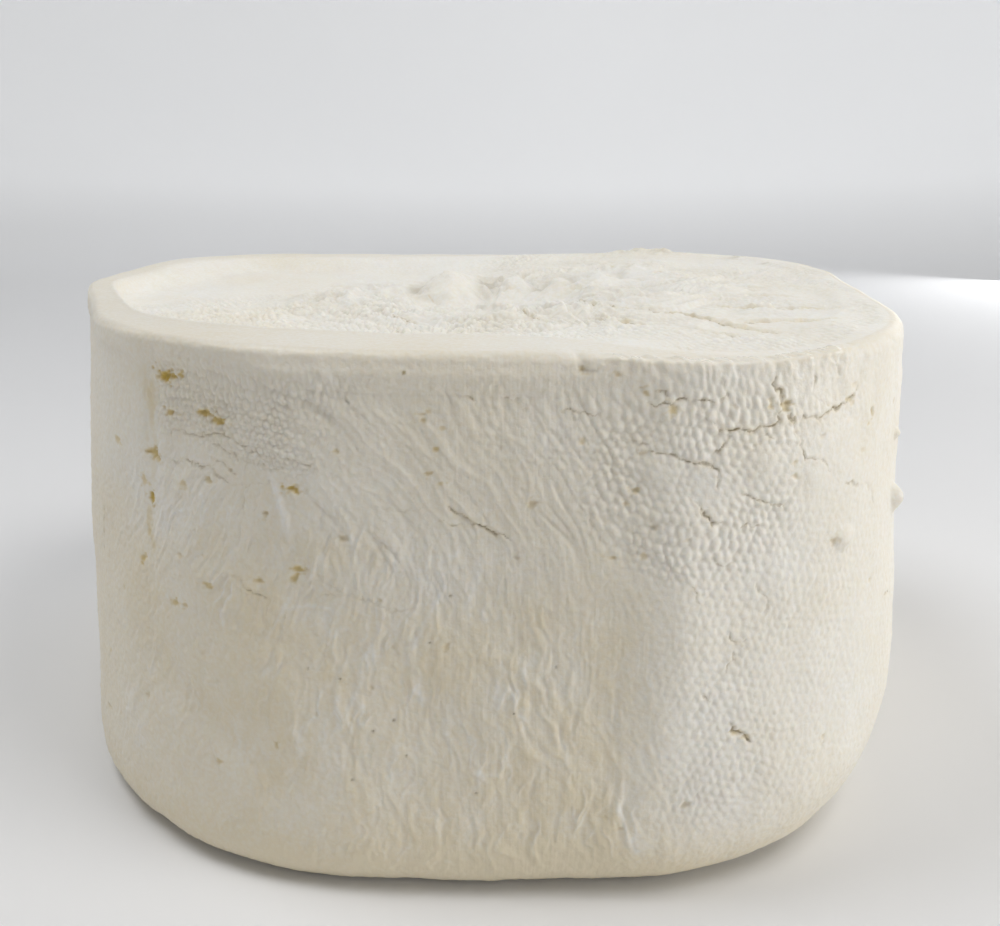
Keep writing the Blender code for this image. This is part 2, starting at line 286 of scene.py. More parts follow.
# The ways that smooth noise can slope: towards the middles of a cube's twelve edges.
SLOPES = np.array([way for way in itertools.product((-1, 0, 1), repeat=3)
                   if way.count(0) == 1])


def scatter(i, j, k, seed):
    """A repeatable value from 0 to 1 for each whole-number place."""
    mixed = i * 73856093 ^ j * 19349663 ^ k * 83492791 ^ (seed * 2654435761)
    mixed = mixed & 0xFFFFFFFF
    mixed = ((mixed ^ (mixed >> 15)) * 2246822519) & 0xFFFFFFFF
    mixed = ((mixed ^ (mixed >> 13)) * 3266489917) & 0xFFFFFFFF
    return ((mixed ^ (mixed >> 16)) & 0xFFFFFF) / 0xFFFFFF


def noise(x, y, z, seed):
    """Smooth noise from about -1 to 1, about one hump per unit."""
    low = [np.floor(value).astype(np.int64) for value in (x, y, z)]
    past = [value - floor for value, floor in zip((x, y, z), low)]
    ease = [share ** 3 * (share * (share * 6 - 15) + 10) for share in past]
    total = np.zeros(np.shape(x))
    for corner in range(8):
        step = [(corner >> axis) & 1 for axis in range(3)]
        pick = scatter(low[0] + step[0], low[1] + step[1], low[2] + step[2], seed)
        lean = SLOPES[(pick * 11.99).astype(np.int64)]
        rise = sum(lean[:, axis] * (past[axis] - step[axis]) for axis in range(3))
        for axis in range(3):
            rise = rise * (ease[axis] if step[axis] else 1 - ease[axis])
        total += rise
    return 1.5 * total


def sheet(across, up, level, seed):
    """Smooth noise over a plane: one level of the noise through space."""
    return noise(across, up, across * 0 + level, seed)


def layered(x, y, z, seed, layers):
    """Noise in layers, each twice as fine and half as strong as the one before."""
    total = np.zeros(np.shape(x))
    strength = 1
    for layer in range(layers):
        step = 2 ** layer
        total += strength * noise(x * step, y * step, z * step, seed + layer)
        strength *= 0.5
    return total


def beads(across, up, seed):
    """Staggered round beads, from 0 in the valleys to 1, one column and one row per unit."""
    total = np.zeros(np.shape(across))
    row = np.round(up).astype(np.int64)
    for row_step in (-1, 0, 1):
        here = row + row_step
        offset = 0.5 * (here & 1)
        column = np.round(across - offset).astype(np.int64)
        for column_step in (-1, 0, 1):
            there = column + column_step
            push = 0.26 * (scatter(there, here, there, seed) - 0.5)
            lift = 0.50 * (scatter(there, here, there, seed + 1) - 0.5)
            x = across - there - offset - push
            y = up - here + 0.8 * push
            dome = 1 + lift - (x / 0.54) ** 2 - (y / 0.64) ** 2
            total += np.exp(12 * dome)
    return np.clip(np.log(total) / 12, -0.2, 1.3)


# ---------------------------------------------------------------- the mesh

def plan_ruler():
    """Bearings from the back round the left, the front and the right, and their way round."""
    bearing = np.radians(np.linspace(-270, 90, 2881))
    plan = plan_radius(bearing)
    steps = np.hypot(np.diff(plan * np.cos(bearing)), np.diff(plan * np.sin(bearing)))
    way = np.concatenate(([0], np.cumsum(steps)))
    return bearing, way - np.interp(math.radians(-90), bearing, way)


def column_bearings(bearing, way):
    """Bearings of the mesh columns, closer together where the wall faces forward."""
    back = ramp(np.abs(way - 2), 118, 170)
    spacing = FINE_STEP + (COARSE_STEP - FINE_STEP) * back
    count = np.concatenate(([0], np.cumsum(np.diff(way) / spacing[1:])))
    return np.interp(np.arange(COLUMNS), count * (COLUMNS / count[-1]), bearing)


def wall_profile(bearing):
    """Rings from the outer edge of the base, up the wall and over the edge, evenly spaced."""
    plan = plan_radius(bearing)
    foot = foot_height(bearing)
    edge = edge_radius(bearing)
    rim = wall_radius(bearing, HEIGHT, plan)
    crest = top_height(rim * np.cos(bearing), rim * np.sin(bearing), edge, bearing)
    rows = []
    for turn in np.linspace(0.5 * math.pi, 0, 60):
        height = foot * (1 - math.sin(turn))
        inset = FOOT_DEPTH_RATIO * foot * (1 - math.cos(turn))
        rows.append((wall_radius(bearing, height, plan) - inset, height))
    for share in np.linspace(0, 1, 281)[1:]:
        height = foot + (crest - edge - foot) * share
        rows.append((wall_radius(bearing, height, plan), height))
    for turn in np.linspace(0, 0.5 * math.pi, 25)[1:]:
        height = crest - edge * (1 - math.sin(turn))
        out = wall_radius(bearing, height, plan)
        out += (rim - out) * math.sin(turn) ** 2
        rows.append((out - edge * (1 - math.cos(turn)), height))
    rows = np.array(rows)
    steps = np.diff(rows, axis=0)
    lengths = np.zeros((len(rows), len(bearing)))
    lengths[1:] = np.cumsum(np.hypot(steps[:, 0], steps[:, 1]), axis=0)
    even = np.empty((2, WALL_ROWS + 1, len(bearing)))
    for column in range(len(bearing)):
        marks = np.linspace(0, 1, WALL_ROWS + 1) * lengths[-1, column]
        for field in range(2):
            even[field, :, column] = np.interp(marks, lengths[:, column], rows[:, field, column])
    return even[0], even[1], rim


def build_rings(ruler):
    """Rings (bearing, way out, height, way in from the rim) from the base over to the top."""
    bearing = column_bearings(*ruler)
    outs, heights, rim = wall_profile(bearing)
    rings = []
    spokes, reach = bearing, outs[0]
    for share in BASE_SHARES:
        if rings:
            spokes, reach = spokes[::2], reach[::2]
        nothing = np.zeros(len(spokes))
        rings.insert(0, (spokes, reach * share, nothing, nothing))
    for out, height in zip(outs, heights):
        rings.append((bearing, out, height, np.zeros(COLUMNS)))
    spokes, reach = bearing, outs[-1]
    shares = np.concatenate((np.linspace(1, LIP_SHARE, LIP_RINGS + 1)[1:],
                             np.linspace(LIP_SHARE, 0, TOP_RINGS + 1)[1:-1]))
    thin_at = 0.5
    for share in shares:
        if share < thin_at and thin_at > LAST_THINNING:
            spokes, reach, rim = spokes[::2], reach[::2], rim[::2]
            thin_at *= 0.5
        out = reach * share
        height = top_height(out * np.cos(spokes), out * np.sin(spokes), rim - out, spokes)
        rings.append((spokes, out, height, rim - out))
    return rings


def stitch(low, high, low_start, high_start):
    """Faces between two rings with as many, half as many or twice as many points."""
    fewer = min(low, high)
    here = np.arange(fewer)
    ahead = (here + 1) % fewer
    if low == high:
        return np.stack((low_start + here, low_start + ahead, high_start + ahead,
                         high_start + here), axis=1)
    few, many = (high_start, low_start) if low > high else (low_start, high_start)
    near = many + 2 * here
    far = many + (2 * here + 2) % (2 * fewer)
    faces = ((near, near + 1, few + here),
             (near + 1, few + ahead, few + here),
             (near + 1, far, few + ahead))
    # Listed the other way round when the upper ring has more points, so that they face out.
    order = 1 if low > high else -1
    return np.concatenate([np.stack(face[::order], axis=1) for face in faces])


def fan(count, start, tip, order):
    """Triangles from a ring to one point in its middle, facing up, or down if order is -1."""
    here = np.arange(count)
    edge = (start + here, start + (here + 1) % count)
    return np.stack((*edge[::order], np.full(count, tip)), axis=1)


def face_layout(quads, triangles):
    """Corners of all faces in a row, the size of each face, and where each one starts."""
    sizes = np.repeat((4, 3), (len(quads), len(triangles)))
    return np.concatenate((quads.ravel(), triangles.ravel())), sizes, np.cumsum(sizes) - sizes


def make_mesh(name, points, quads, triangles):
    """A mesh from arrays of points and faces."""
    corners, sizes, starts = face_layout(quads, triangles)
    mesh = bpy.data.meshes.new(name)
    for items, count, field, values in (
            (mesh.vertices, len(points), "co", points.astype(np.float32)),
            (mesh.loops, len(corners), "vertex_index", corners.astype(np.int32)),
            (mesh.polygons, len(sizes), "loop_start", starts.astype(np.int32))):
        items.add(count)
        items.foreach_set(field, values.ravel())
    mesh.update(calc_edges=True)
    mesh.shade_smooth()
    return mesh


class Skin:
    """The points of the block, where each one lies, and what is painted and pressed there."""

    def __init__(self):
        self.ruler = plan_ruler()
        rings = build_rings(self.ruler)
        self.counts = [len(ring[0]) for ring in rings]
        self.base_points = sum(self.counts[:len(BASE_SHARES)])
        # The last two points are the middle of the base and the middle of the top.
        middle = top_height(np.zeros(1), np.zeros(1), np.full(1, 100.0), np.zeros(1))[0]
        rings.append(((0, 0), (0, 0), (0, middle), (0, 120)))
        self.bearing, out, self.z, self.inward = [np.concatenate(part) for part in zip(*rings)]
        self.x = out * np.cos(self.bearing)
        self.y = out * np.sin(self.bearing)
        self.way = np.interp(self.bearing, *self.ruler)
        self.quads, self.triangles = self.faces()
        mesh = make_mesh("plain", self.points(), self.quads, self.triangles)
        normals = np.empty(3 * len(out), dtype=np.float32)
        mesh.vertex_normals.foreach_get("vector", normals)
        bpy.data.meshes.remove(mesh)
        self.normals = normals.reshape(-1, 3).astype(float)
        up = self.normals[:, 2]
        above = np.arange(len(out)) >= self.base_points
        above[-2] = False
        self.wall = above * fade(up, 0.45, 0.9) * ramp(self.z, 0, 1.2)
        self.top = above * ramp(up, 0.55, 0.92)
        for name in ("relief", *PAINTS):
            setattr(self, name, np.zeros(len(out)))
        self.gap += FAR_FROM_CRACK

    def points(self):
        """Places of the points in metres, in the frame of the CAD."""
        return np.stack((self.x + PLAN_SHIFT[0], self.y + PLAN_SHIFT[1], self.z), axis=1) * MM

    def faces(self):
        """Stitch the rings into one closed skin: its quads and its triangles."""
        starts = np.concatenate(([0], np.cumsum(self.counts)))
        faces = [stitch(*self.counts[ring:ring + 2], *starts[ring:ring + 2])
                 for ring in range(len(self.counts) - 1)]
        faces.append(fan(self.counts[0], 0, starts[-1], -1))
        faces.append(fan(self.counts[-1], starts[-2], starts[-1] + 1, 1))
        return [np.concatenate([face for face in faces if face.shape[1] == size])
                for size in (4, 3)]

    def noise(self, size, seed, spots=slice(None), tall=None):
        """Noise through the block, with features so many millimetres wide, and so tall."""
        return noise(self.x[spots] / size, self.y[spots] / size, self.z[spots] / (tall or size), seed)

    def stain(self, paint_name, amount, spots=slice(None)):
        """Lay on at least so much of a paint."""
        field = getattr(self, paint_name)
        field[spots] = np.maximum(field[spots], amount)

    def near(self, side, places, margin):
        """The patch of the wall or the top that lies in a box round one or more places."""
        across, up = (self.way, self.z) if side == "wall" else (self.x, self.y)
        places = np.atleast_2d(places)
        low, high = places.min(axis=0) - margin, places.max(axis=0) + margin
        inside = (across > low[0]) & (across < high[0]) & (up > low[1]) & (up < high[1])
        return Patch(self, inside & (getattr(self, side) > 0), across, up)


class Patch:
    """Some points of the skin, with their places across and up (on the top: to the back)."""

    def __init__(self, skin, inside, across, up):
        self.skin = skin
        self.spots = np.flatnonzero(inside)
        self.across, self.up = across[self.spots], up[self.spots]

    def lift(self, amount):
        """Raise the points."""
        self.skin.relief[self.spots] += amount

    def stain(self, paint_name, amount):
        """Lay on at least so much of a paint."""
        self.skin.stain(paint_name, amount, self.spots)

    def noise(self, wide, tall, level, seed):
        """Noise over the patch, with features so many millimetres wide and tall."""
        return sheet(self.across / wide, self.up / tall, level, seed)

    def oval(self, place, size):
        """Places across and up from the middle of an oval, whose edge lies at 1."""
        return ((self.across - place[0]) / (0.5 * size[0]), (self.up - place[1]) / (0.5 * size[1]))


def along_line(across, up, stations):
    """Distance to a broken line, share of the way along it, and side: 1 above, -1 below."""
    stations = np.array(stations, dtype=float)
    runs = np.diff(stations, axis=0)
    lengths = np.hypot(runs[:, 0], runs[:, 1])
    heading = 1 if stations[-1, 0] >= stations[0, 0] else -1
    nearest = np.full(across.shape, 1e6)
    share = np.zeros(across.shape)
    side = np.zeros(across.shape)
    done = 0
    for start, run, length in zip(stations, runs, lengths):
        off, over = across - start[0], up - start[1]
        place = np.clip((off * run[0] + over * run[1]) / (length * length), 0, 1)
        away = np.hypot(off - place * run[0], over - place * run[1])
        closer = away < nearest
        nearest = np.where(closer, away, nearest)
        share = np.where(closer, (done + place * length) / lengths.sum(), share)
        turned = (over * run[0] - off * run[1]) / length
        side = np.where(closer, heading * np.tanh(2 * turned), side)
        done += length
    return nearest, share, side


def cut_line(patch, stations, width, depth, stain, seed, least=0.15):
    """Press a thin ragged crack or crease into the skin and darken its bottom: partly a stain, partly
    painted shade.
    """
    skin, spots = patch.skin, patch.spots
    across = patch.across + 0.75 * patch.noise(2.7, 2.7, 0.5, seed)
    across += 0.35 * patch.noise(1.1, 1.1, 5.5, seed)
    up = patch.up + 0.75 * patch.noise(2.7, 2.7, 9.5, seed + 1)
    up += 0.35 * patch.noise(1.1, 1.1, 7.5, seed + 1)
    away, share, side = along_line(across, up, stations)
    taper = np.sqrt(np.clip(4 * share * (1 - share), 0, 1)) * 0.8 + 0.2
    body = taper * np.clip(0.75 + 0.9 * patch.noise(3, 3, 3.5, seed + 2), least, 1.3)
    cut = bump(away, width * (0.6 + 0.4 * taper)) * body
    patch.lift(depth * (0.22 * bump(away - 2.4 * width, 1.3 * width) * body - cut))
    patch.lift(0.45 * stain * side * np.exp(-away / 1.8) * body * depth)
    # The dark line at the bottom of the cut: partly stain, partly painted shade in the crack.
    line = np.clip(stain * body, 0, 1)
    closer = away < skin.gap[spots]
    skin.gap[spots] = np.where(closer, away, skin.gap[spots])
    skin.split[spots] = np.where(closer, line, skin.split[spots])
    patch.stain("whey", 0.26 * line * bump(away, 1.7 * width))


def press_hole(patch, place, size, depth, stain, seed):
    """Press a small ragged whey hole, ochre inside, with a thin pale edge and painted shade under its
    upper rim.
    """
    shake = 0.60 * patch.noise(1.9, 0.9, 1.5, seed) + 0.35 * patch.noise(1.1, 0.6, 4.5, seed)
    shake = np.clip(shake, -0.6, 1)
    x, y = patch.oval(place, size)
    reach = np.hypot(x, y) * (1 + shake)
    patch.lift(depth * (0.16 * bump(reach - 1.6, 0.5) - np.exp(-(reach ** 2.5))))
    patch.stain("whey", stain * np.exp(-(reach / 1.1) ** 4))
    # Painted shade in the upper part of the hole, under its rim.
    low = np.hypot(x - 0.15, y - 0.45) * (1 + shake)
    patch.stain("dark", 0.28 * stain * bump(low, 0.45))


def raise_lump(patch, place, size, height, wipe, steep=1):
    """Raise a lump, steeper above (or below, if steep is -1), and wipe the cloth's print off it."""
    x, y = patch.oval(place, size)
    y = steep * y
    reach = np.hypot(x, np.where(y > 0, y, 0.7 * y))
    dome = np.clip(1 - reach * reach, 0, 1) ** (1.3 + 0.7 * ramp(-y, 0, 0.6))
    patch.skin.relief[patch.spots] *= 1 - wipe * bump(reach, 0.9)
    patch.lift(height * dome)


def dry_stroke(across, up, stations, width):
    """How strong a dry whitish stroke is at some places: 1 on its line."""
    away, share, _ = along_line(across, up, stations)
    return bump(away, width) * np.clip(6 * share * (1 - share), 0.2, 1)


# ---------------------------------------------------------------- relief of the wall

def cloth_print(skin):
    """Weights of the print: coarse at the right and behind, finer and faint at the upper left."""
    way, z = skin.way, skin.z
    high = ramp(z, 82, 98)
    right = ramp(way, 42 + 0.10 * (z - 80) - 28 * high, 58 - 16 * high)
    right *= fade(way - 0.25 * (z - 60), 84, 112)
    right *= 1 - 0.85 * ramp(way, 72, 86) * ramp(z, 84, 96)
    right *= ramp(z, 12, 28) * (0.62 - 0.24 * ramp(way, 62, 84) + 0.45 * high)
    right *= 1 - 0.45 * ramp(z, 126, 134)
    right += 0.40 * between(way, -14, 12, 16, 40) * ramp(z, 104, 118)
    end = 0.20 * between(way, 86, 104, 150, 175) * (1 - 0.8 * ramp(z, 84, 100))
    behind = 0.65 * ramp(np.abs(way + 8), 150, 205) * ramp(skin.noise(30, 11), -0.5, 0.4)
    behind *= ramp(z, 12, 30) * (1 - 0.6 * ramp(z, 122, 134))
    faint = ramp(way, -92, -80) * fade(way - 0.4 * (z - 120), -44, -24)
    faint *= ramp(z + 0.15 * way, 98, 108)
    rim = 1 - ramp(z, 131, 137) * (1 - 0.75 * ramp(way, 30, 44))
    rim *= skin.wall * (0.85 + 0.35 * skin.noise(10, 12))
    return np.clip(right + end + behind, 0, 1.1) * rim, 1.15 * faint * rim


def press_print(skin):
    """Press the cloth's print into the wall."""
    round_trip = skin.ruler[1][-1] - skin.ruler[1][0]
    turn = 2 * math.pi / round_trip
    for weight, scale, seed in zip(cloth_print(skin), (1, FINER_PRINT), (31, 35)):
        patch = Patch(skin, weight > 0.01, skin.way, skin.z)
        spots, way, z = patch.spots, patch.across, patch.up
        columns = round(round_trip / (BEAD_ACROSS * scale))
        lean = 0.26 / turn * np.sin((way - 70) * turn)
        warp_way = 1.5 * skin.noise(15, 21, spots) + 0.45 * scale * skin.noise(5, 22, spots)
        warp_z = 1.7 * skin.noise(17, 23, spots) + 0.45 * scale * skin.noise(5, 24, spots)
        across = (way + warp_way - 0.02 * z) / round_trip * columns
        up = (z - 0.38 * np.maximum(z - 124, 0) + lean + warp_z) / (BEAD_UP * scale)
        patch.lift(BEAD_DEPTH * weight[spots] * (beads(across, up, seed) - 0.6))


def press_ribs(skin):
    """Faint upright ribs under the right-hand rim and round the right-hand end."""
    weight = skin.wall * between(skin.z, 131, 135, 138.5, 140.5)
    weight *= ramp(skin.way, 22, 40) * (1 - 0.8 * ramp(skin.way, 70, 90))
    patch = Patch(skin, weight > 0.01, skin.way, skin.z)
    rib = np.sin(2 * math.pi * (patch.across + 1.2 * patch.noise(5, 9, 0.5, 41)) / 1.9)
    strength = np.clip(0.3 + 0.9 * patch.noise(6, 5, 2.5, 42), 0, 1)
    patch.lift(0.13 * weight[patch.spots] * strength * rib)
    weight = skin.wall * ramp(skin.z, 108, 122) * between(skin.way, 86, 98, 128, 150)
    patch = Patch(skin, weight > 0.01, skin.way, skin.z)
    patch.lift(0.34 * weight[patch.spots] * patch.noise(4.4, 18, 4.5, 43))


def ridged(value, width):
    """Sharp crests where the noise crosses zero."""
    return 1 - np.minimum(np.abs(value) / width, 1)


def pull_lines(skin):
    """Lines where the cloth was dragged: arcs above, with painted shade along their creases, and
    falling wrinkles below.
    """
    near = between(skin.way, -125, -95, 42, 58) * skin.wall
    patch = Patch(skin, near > 0.01, skin.way, skin.z)
    near, way, z = near[patch.spots], patch.across, patch.up
    wander = 2.6 * patch.noise(18, 18, 0.5, 51)
    jog = patch.noise(6, 9, 3.5, 51) + 0.4 * patch.noise(2.6, 4, 4.5, 50)

    arc = np.hypot(way - ARC_MIDDLE[0], z - ARC_MIDDLE[1]) + wander + 0.35 * jog
    along = np.arctan2(z - ARC_MIDDLE[1], way - ARC_MIDDLE[0]) * 95
    crease = ridged(sheet(arc / 4.2, along / 46, 8.5, 58), 0.10)
    crease *= ramp(sheet(arc / 9, along / 24, 9.5, 49), -0.25, 0.25)
    drawn = 0.12 * sheet(arc / 1.1, along / 7, 1.5, 52) - 0.46 * crease
    drawn += 0.05 * sheet(arc / 4.6, along / 22, 2.5, 53)
    drawn += 0.18 * ridged(sheet(arc / 3.6, along / 34, 6.5, 48), 0.16)
    upper = ramp(z + 0.35 * way, 70, 88) * ramp(way + 0.5 * (z - 110), -52, -24)
    upper *= near * fade(z, 128, 133) * (1 - 0.5 * ramp(way, 14, 34))
    patch.lift(upper * drawn)
    # Painted shade along the creases of the arcs.
    patch.stain("dark", 0.13 * upper * crease)

    fall = (way - FALL_TIP[0]) / (FALL_TIP[1] - z) * 150 + 0.6 * wander
    fine = sheet((fall + 1.4 * jog) / 1.5, z / 6, 4.5, 54)
    fine += 0.7 * sheet((fall + jog + 0.12 * z) / 0.93, z / 3.6, 1.5, 45)
    middle = sheet((fall + 1.8 * jog) / 2.6, z / 9, 5.5, 55)
    crest = ridged(sheet((fall + 1.5 * jog) / 2.9, z / 13, 9.5, 59), 0.20)
    crest *= ramp(sheet(fall / 5, z / 14, 7.5, 47), -0.1, 0.45)
    lower = fade(z + 0.30 * way, 80, 100) * ramp(z, 4, 14)
    lower *= 0.45 + 0.55 * ramp(way + 0.25 * z, -68, -36)
    lower *= near * np.clip(0.95 + 0.5 * patch.noise(9, 12, 6.5, 56), 0.4, 1.4)
    lower *= 1 - 0.65 * ramp(way, 14, 32) * ramp(z, 46, 74)
    patch.lift(lower * (0.21 * fine + 0.19 * middle + 0.31 * crest))
    blotch = 0.16 * patch.noise(8, 10, 2.5, 46) + 0.10 * fine
    skin.warm[patch.spots] += lower * (blotch - 0.34 * crest)

    calm = fade(way, -34, -8) * ramp(z + 0.30 * way, 56, 76) * (0.5 + 0.5 * ramp(way, -70, -45))
    slant = way + 0.25 * z + wander + 0.6 * jog
    upright = 0.7 * sheet(slant / 1.9, z / 7, 7.5, 57)
    upright += ridged(sheet(slant / 5, z / 26, 11.5, 60), 0.14)
    patch.lift(0.085 * near * calm * upright)


def soften_wall(skin):
    """Slow dents and fine grain, the front right corner, the step under the lip and the seam."""
    way, z = skin.way, skin.z
    left = fade(way, -66, -40)
    dents = 0.36 * skin.noise(24, 61) + 0.20 * skin.noise(9, 62, tall=12)
    grain = 0.07 * skin.noise(2.8, 63) + (0.08 + 0.04 * left) * skin.noise(1.3, 64, tall=1.4)
    corner = bump(way - CORNER - 0.05 * (z - 60), 9) * ramp(z, 18, 46)
    corner *= 1 - 0.7 * ramp(z, 100, 124)
    step = between(z, 129.6, 131.4, 133, 138) * between(way, -60, -44, 18, 30)
    seam = bump(way + SEAM - 0.02 * (z - 90), 3.2) * between(z, 20, 60, 128, 136)
    skin.relief += skin.wall * (dents + grain + 1.5 * corner + 0.55 * step - 0.30 * seam)


# How strongly the cuts and holes below are pressed and stained; the stain of cuts and holes also
# carries painted shade.
CUT_WIDTH = 0.60
CUT_DEPTH = 0.62
CUT_STAIN_AND_SHADE = 0.80
HOLE_SIZE = (0.88, 0.80)
HOLE_DEPTH = 0.45
RIGHT_HOLE_STAIN_AND_SHADE = 0.6
SCATTERED_CRACKS = 64
SCATTERED_PINHOLES = 420

# Cracks and creases of the wall: stations (way, height), width, depth and stain, which also darkens
# their bottoms with painted shade.
WALL_CUTS = (
    # Down the left, beside the mould seam.
    (((-81, 114), (-76, 116), (-70, 115.6), (-64, 117), (-60, 117), (-54, 114.6), (-48, 113)),
     0.5, 0.5, 0.55),
    (((-81, 107), (-75, 108), (-69, 107.4), (-65, 109), (-61, 109.5), (-57, 107.5)), 0.5, 0.5, 0.6),
    (((-84, 107.6), (-74, 107), (-66, 107.4), (-56, 104.6), (-46, 107), (-34, 111)), 0.4, 0.35, 0.22),
    (((-80, 115), (-68, 116), (-58, 112), (-46, 110.6), (-36, 111.6), (-28, 108)), 0.4, 0.35, 0.2),
    (((-58, 82), (-52, 78), (-46, 75)), 0.55, 0.45, 0.35),
    (((-53, 113), (-54.6, 101), (-57, 88)), 1.1, 0.35, 0.1),
    (((-50, 106), (-51.5, 97), (-53, 88)), 0.8, 0.25, 0.06),
    (((-43, 113.6), (-39, 112.4), (-35, 112)), 0.4, 0.4, 0.45),
    (((-46, 116.5), (-43, 115.5)), 0.45, 0.4, 0.4),
    (((-67, 35), (-65, 31), (-63, 27)), 1.2, 0.5, 0.1),
    (((-22, 103), (-14, 101.5), (-7, 104)), 0.5, 0.22, 0.12),
    # In the middle.
    (((-3.5, 102.5), (0.5, 100.6), (4, 99.2), (8, 97), (12, 95.6)), 0.55, 0.8, 0.95),
    (((-5, 99.4), (-2.5, 98.8), (0.5, 98)), 0.4, 0.4, 0.5),
    (((6, 129), (11, 129.4), (16, 128)), 0.4, 0.35, 0.35),
    (((0, 129.6), (2.6, 128.8)), 0.4, 0.35, 0.45),
    (((14, 132), (18, 126), (25, 115), (30, 100), (35, 81)), 0.55, 0.4, 0.1),
    (((2, 126), (10, 115), (17, 101), (22, 86)), 0.5, 0.3, 0.06),
    (((-14, 118), (-2, 110), (8, 97), (14, 84)), 0.5, 0.26, 0.05),
    (((24, 131), (31, 121), (37, 108), (41, 92)), 0.5, 0.3, 0.06),
    (((-40, 76), (-33, 80), (-24, 79.5), (-17, 76.5), (-9, 78.5)), 0.5, 0.25, 0.14),
    (((-45, 94), (-38, 86), (-31, 81.5), (-28, 80)), 0.45, 0.28, 0.12),
    # At the right: long cracks between plates of curd.
    (((55.5, 127), (58, 124), (60, 121.5), (64, 121.6), (68, 121.8), (72, 122), (75, 123.4),
      (76.3, 126)), 0.55, 0.75, 0.75),
    (((74.4, 134), (73.8, 131.8), (75.5, 129.3), (76, 125.4)), 0.55, 0.7, 0.55),
    (((78.8, 122.4), (80.4, 119), (82.5, 113.3), (88.6, 111.7)), 0.5, 0.6, 0.5),
    (((77, 125), (79.7, 122.7), (82.8, 123.3), (87, 123.1), (92.8, 124), (97, 125), (100, 127.2),
      (101, 129)), 0.55, 0.8, 0.8),
    (((87, 123), (88.4, 119.6)), 0.45, 0.45, 0.35),
    (((67.8, 117.7), (69, 119.3), (71.2, 120), (73.5, 119.3)), 0.5, 0.65, 0.6),
    (((41.7, 116.8), (44.3, 117.4), (48, 117.3), (50.6, 115.8), (54.5, 114.8), (57.2, 113.8),
      (59.2, 112), (59.3, 108.6)), 0.55, 0.8, 0.75),
    (((58.4, 116.6), (59.7, 117.3), (61, 118.5), (62.3, 120.7)), 0.5, 0.55, 0.5),
    (((54.3, 106), (55.7, 102.8), (57.8, 100.4), (60.5, 100)), 0.55, 0.75, 0.6),
    (((65, 107), (68.2, 105.4), (71.8, 104.3), (74.7, 103.7), (76.5, 101)), 0.45, 0.6, 0.55),
    (((65.2, 98.6), (67.7, 98.5), (69.8, 98.8)), 0.5, 0.6, 0.75),
    (((49, 128.8), (53, 129.3), (56.8, 129.1), (58.8, 128.7)), 0.55, 0.8, 0.9),
    (((45.3, 131.2), (47.8, 131.6), (48.8, 130.2), (49, 128.8)), 0.5, 0.7, 0.75),
    (((43.6, 128.6), (44.7, 127.9), (46.1, 128.8), (49.2, 128.2)), 0.45, 0.6, 0.6),
    (((22.8, 126.2), (26.6, 126.2), (29.7, 125.6), (32.2, 125.6)), 0.4, 0.45, 0.5),
    (((96, 105.2), (103.3, 103)), 0.45, 0.5, 0.4),
    (((85.4, 134.4), (86.3, 130.7), (84, 128.5)), 0.5, 0.45, 0.3),
    (((91.2, 137), (94.8, 132)), 0.6, 0.45, 0.2), (((89, 111.4), (91, 108.6)), 0.45, 0.45, 0.35),
    (((38.6, 121), (42, 119), (46, 119.6)), 0.4, 0.4, 0.3),
    (((61, 133.6), (61.6, 130.2), (60.4, 127.2)), 0.4, 0.35, 0.25),
    (((63, 71.4), (65.4, 69.6), (68, 70)), 0.6, 0.8, 0.7),
    (((64, 69), (64.4, 65.6), (62.4, 62.6)), 0.5, 0.5, 0.35),
    (((56, 58), (59, 55)), 0.5, 0.55, 0.55),
    (((64.6, 49), (65.6, 46.6), (68, 45.2), (71, 42.6)), 0.75, 0.95, 0.75),
    (((52, 85.6), (54.6, 81)), 0.45, 0.45, 0.35),
    (((57, 92), (60, 89.4), (64, 90)), 0.45, 0.4, 0.3),
    (((70, 84), (73, 79), (72.4, 75)), 0.5, 0.35, 0.2),
    (((104, 104), (110, 100), (113, 94)), 0.6, 0.3, 0.15),
)
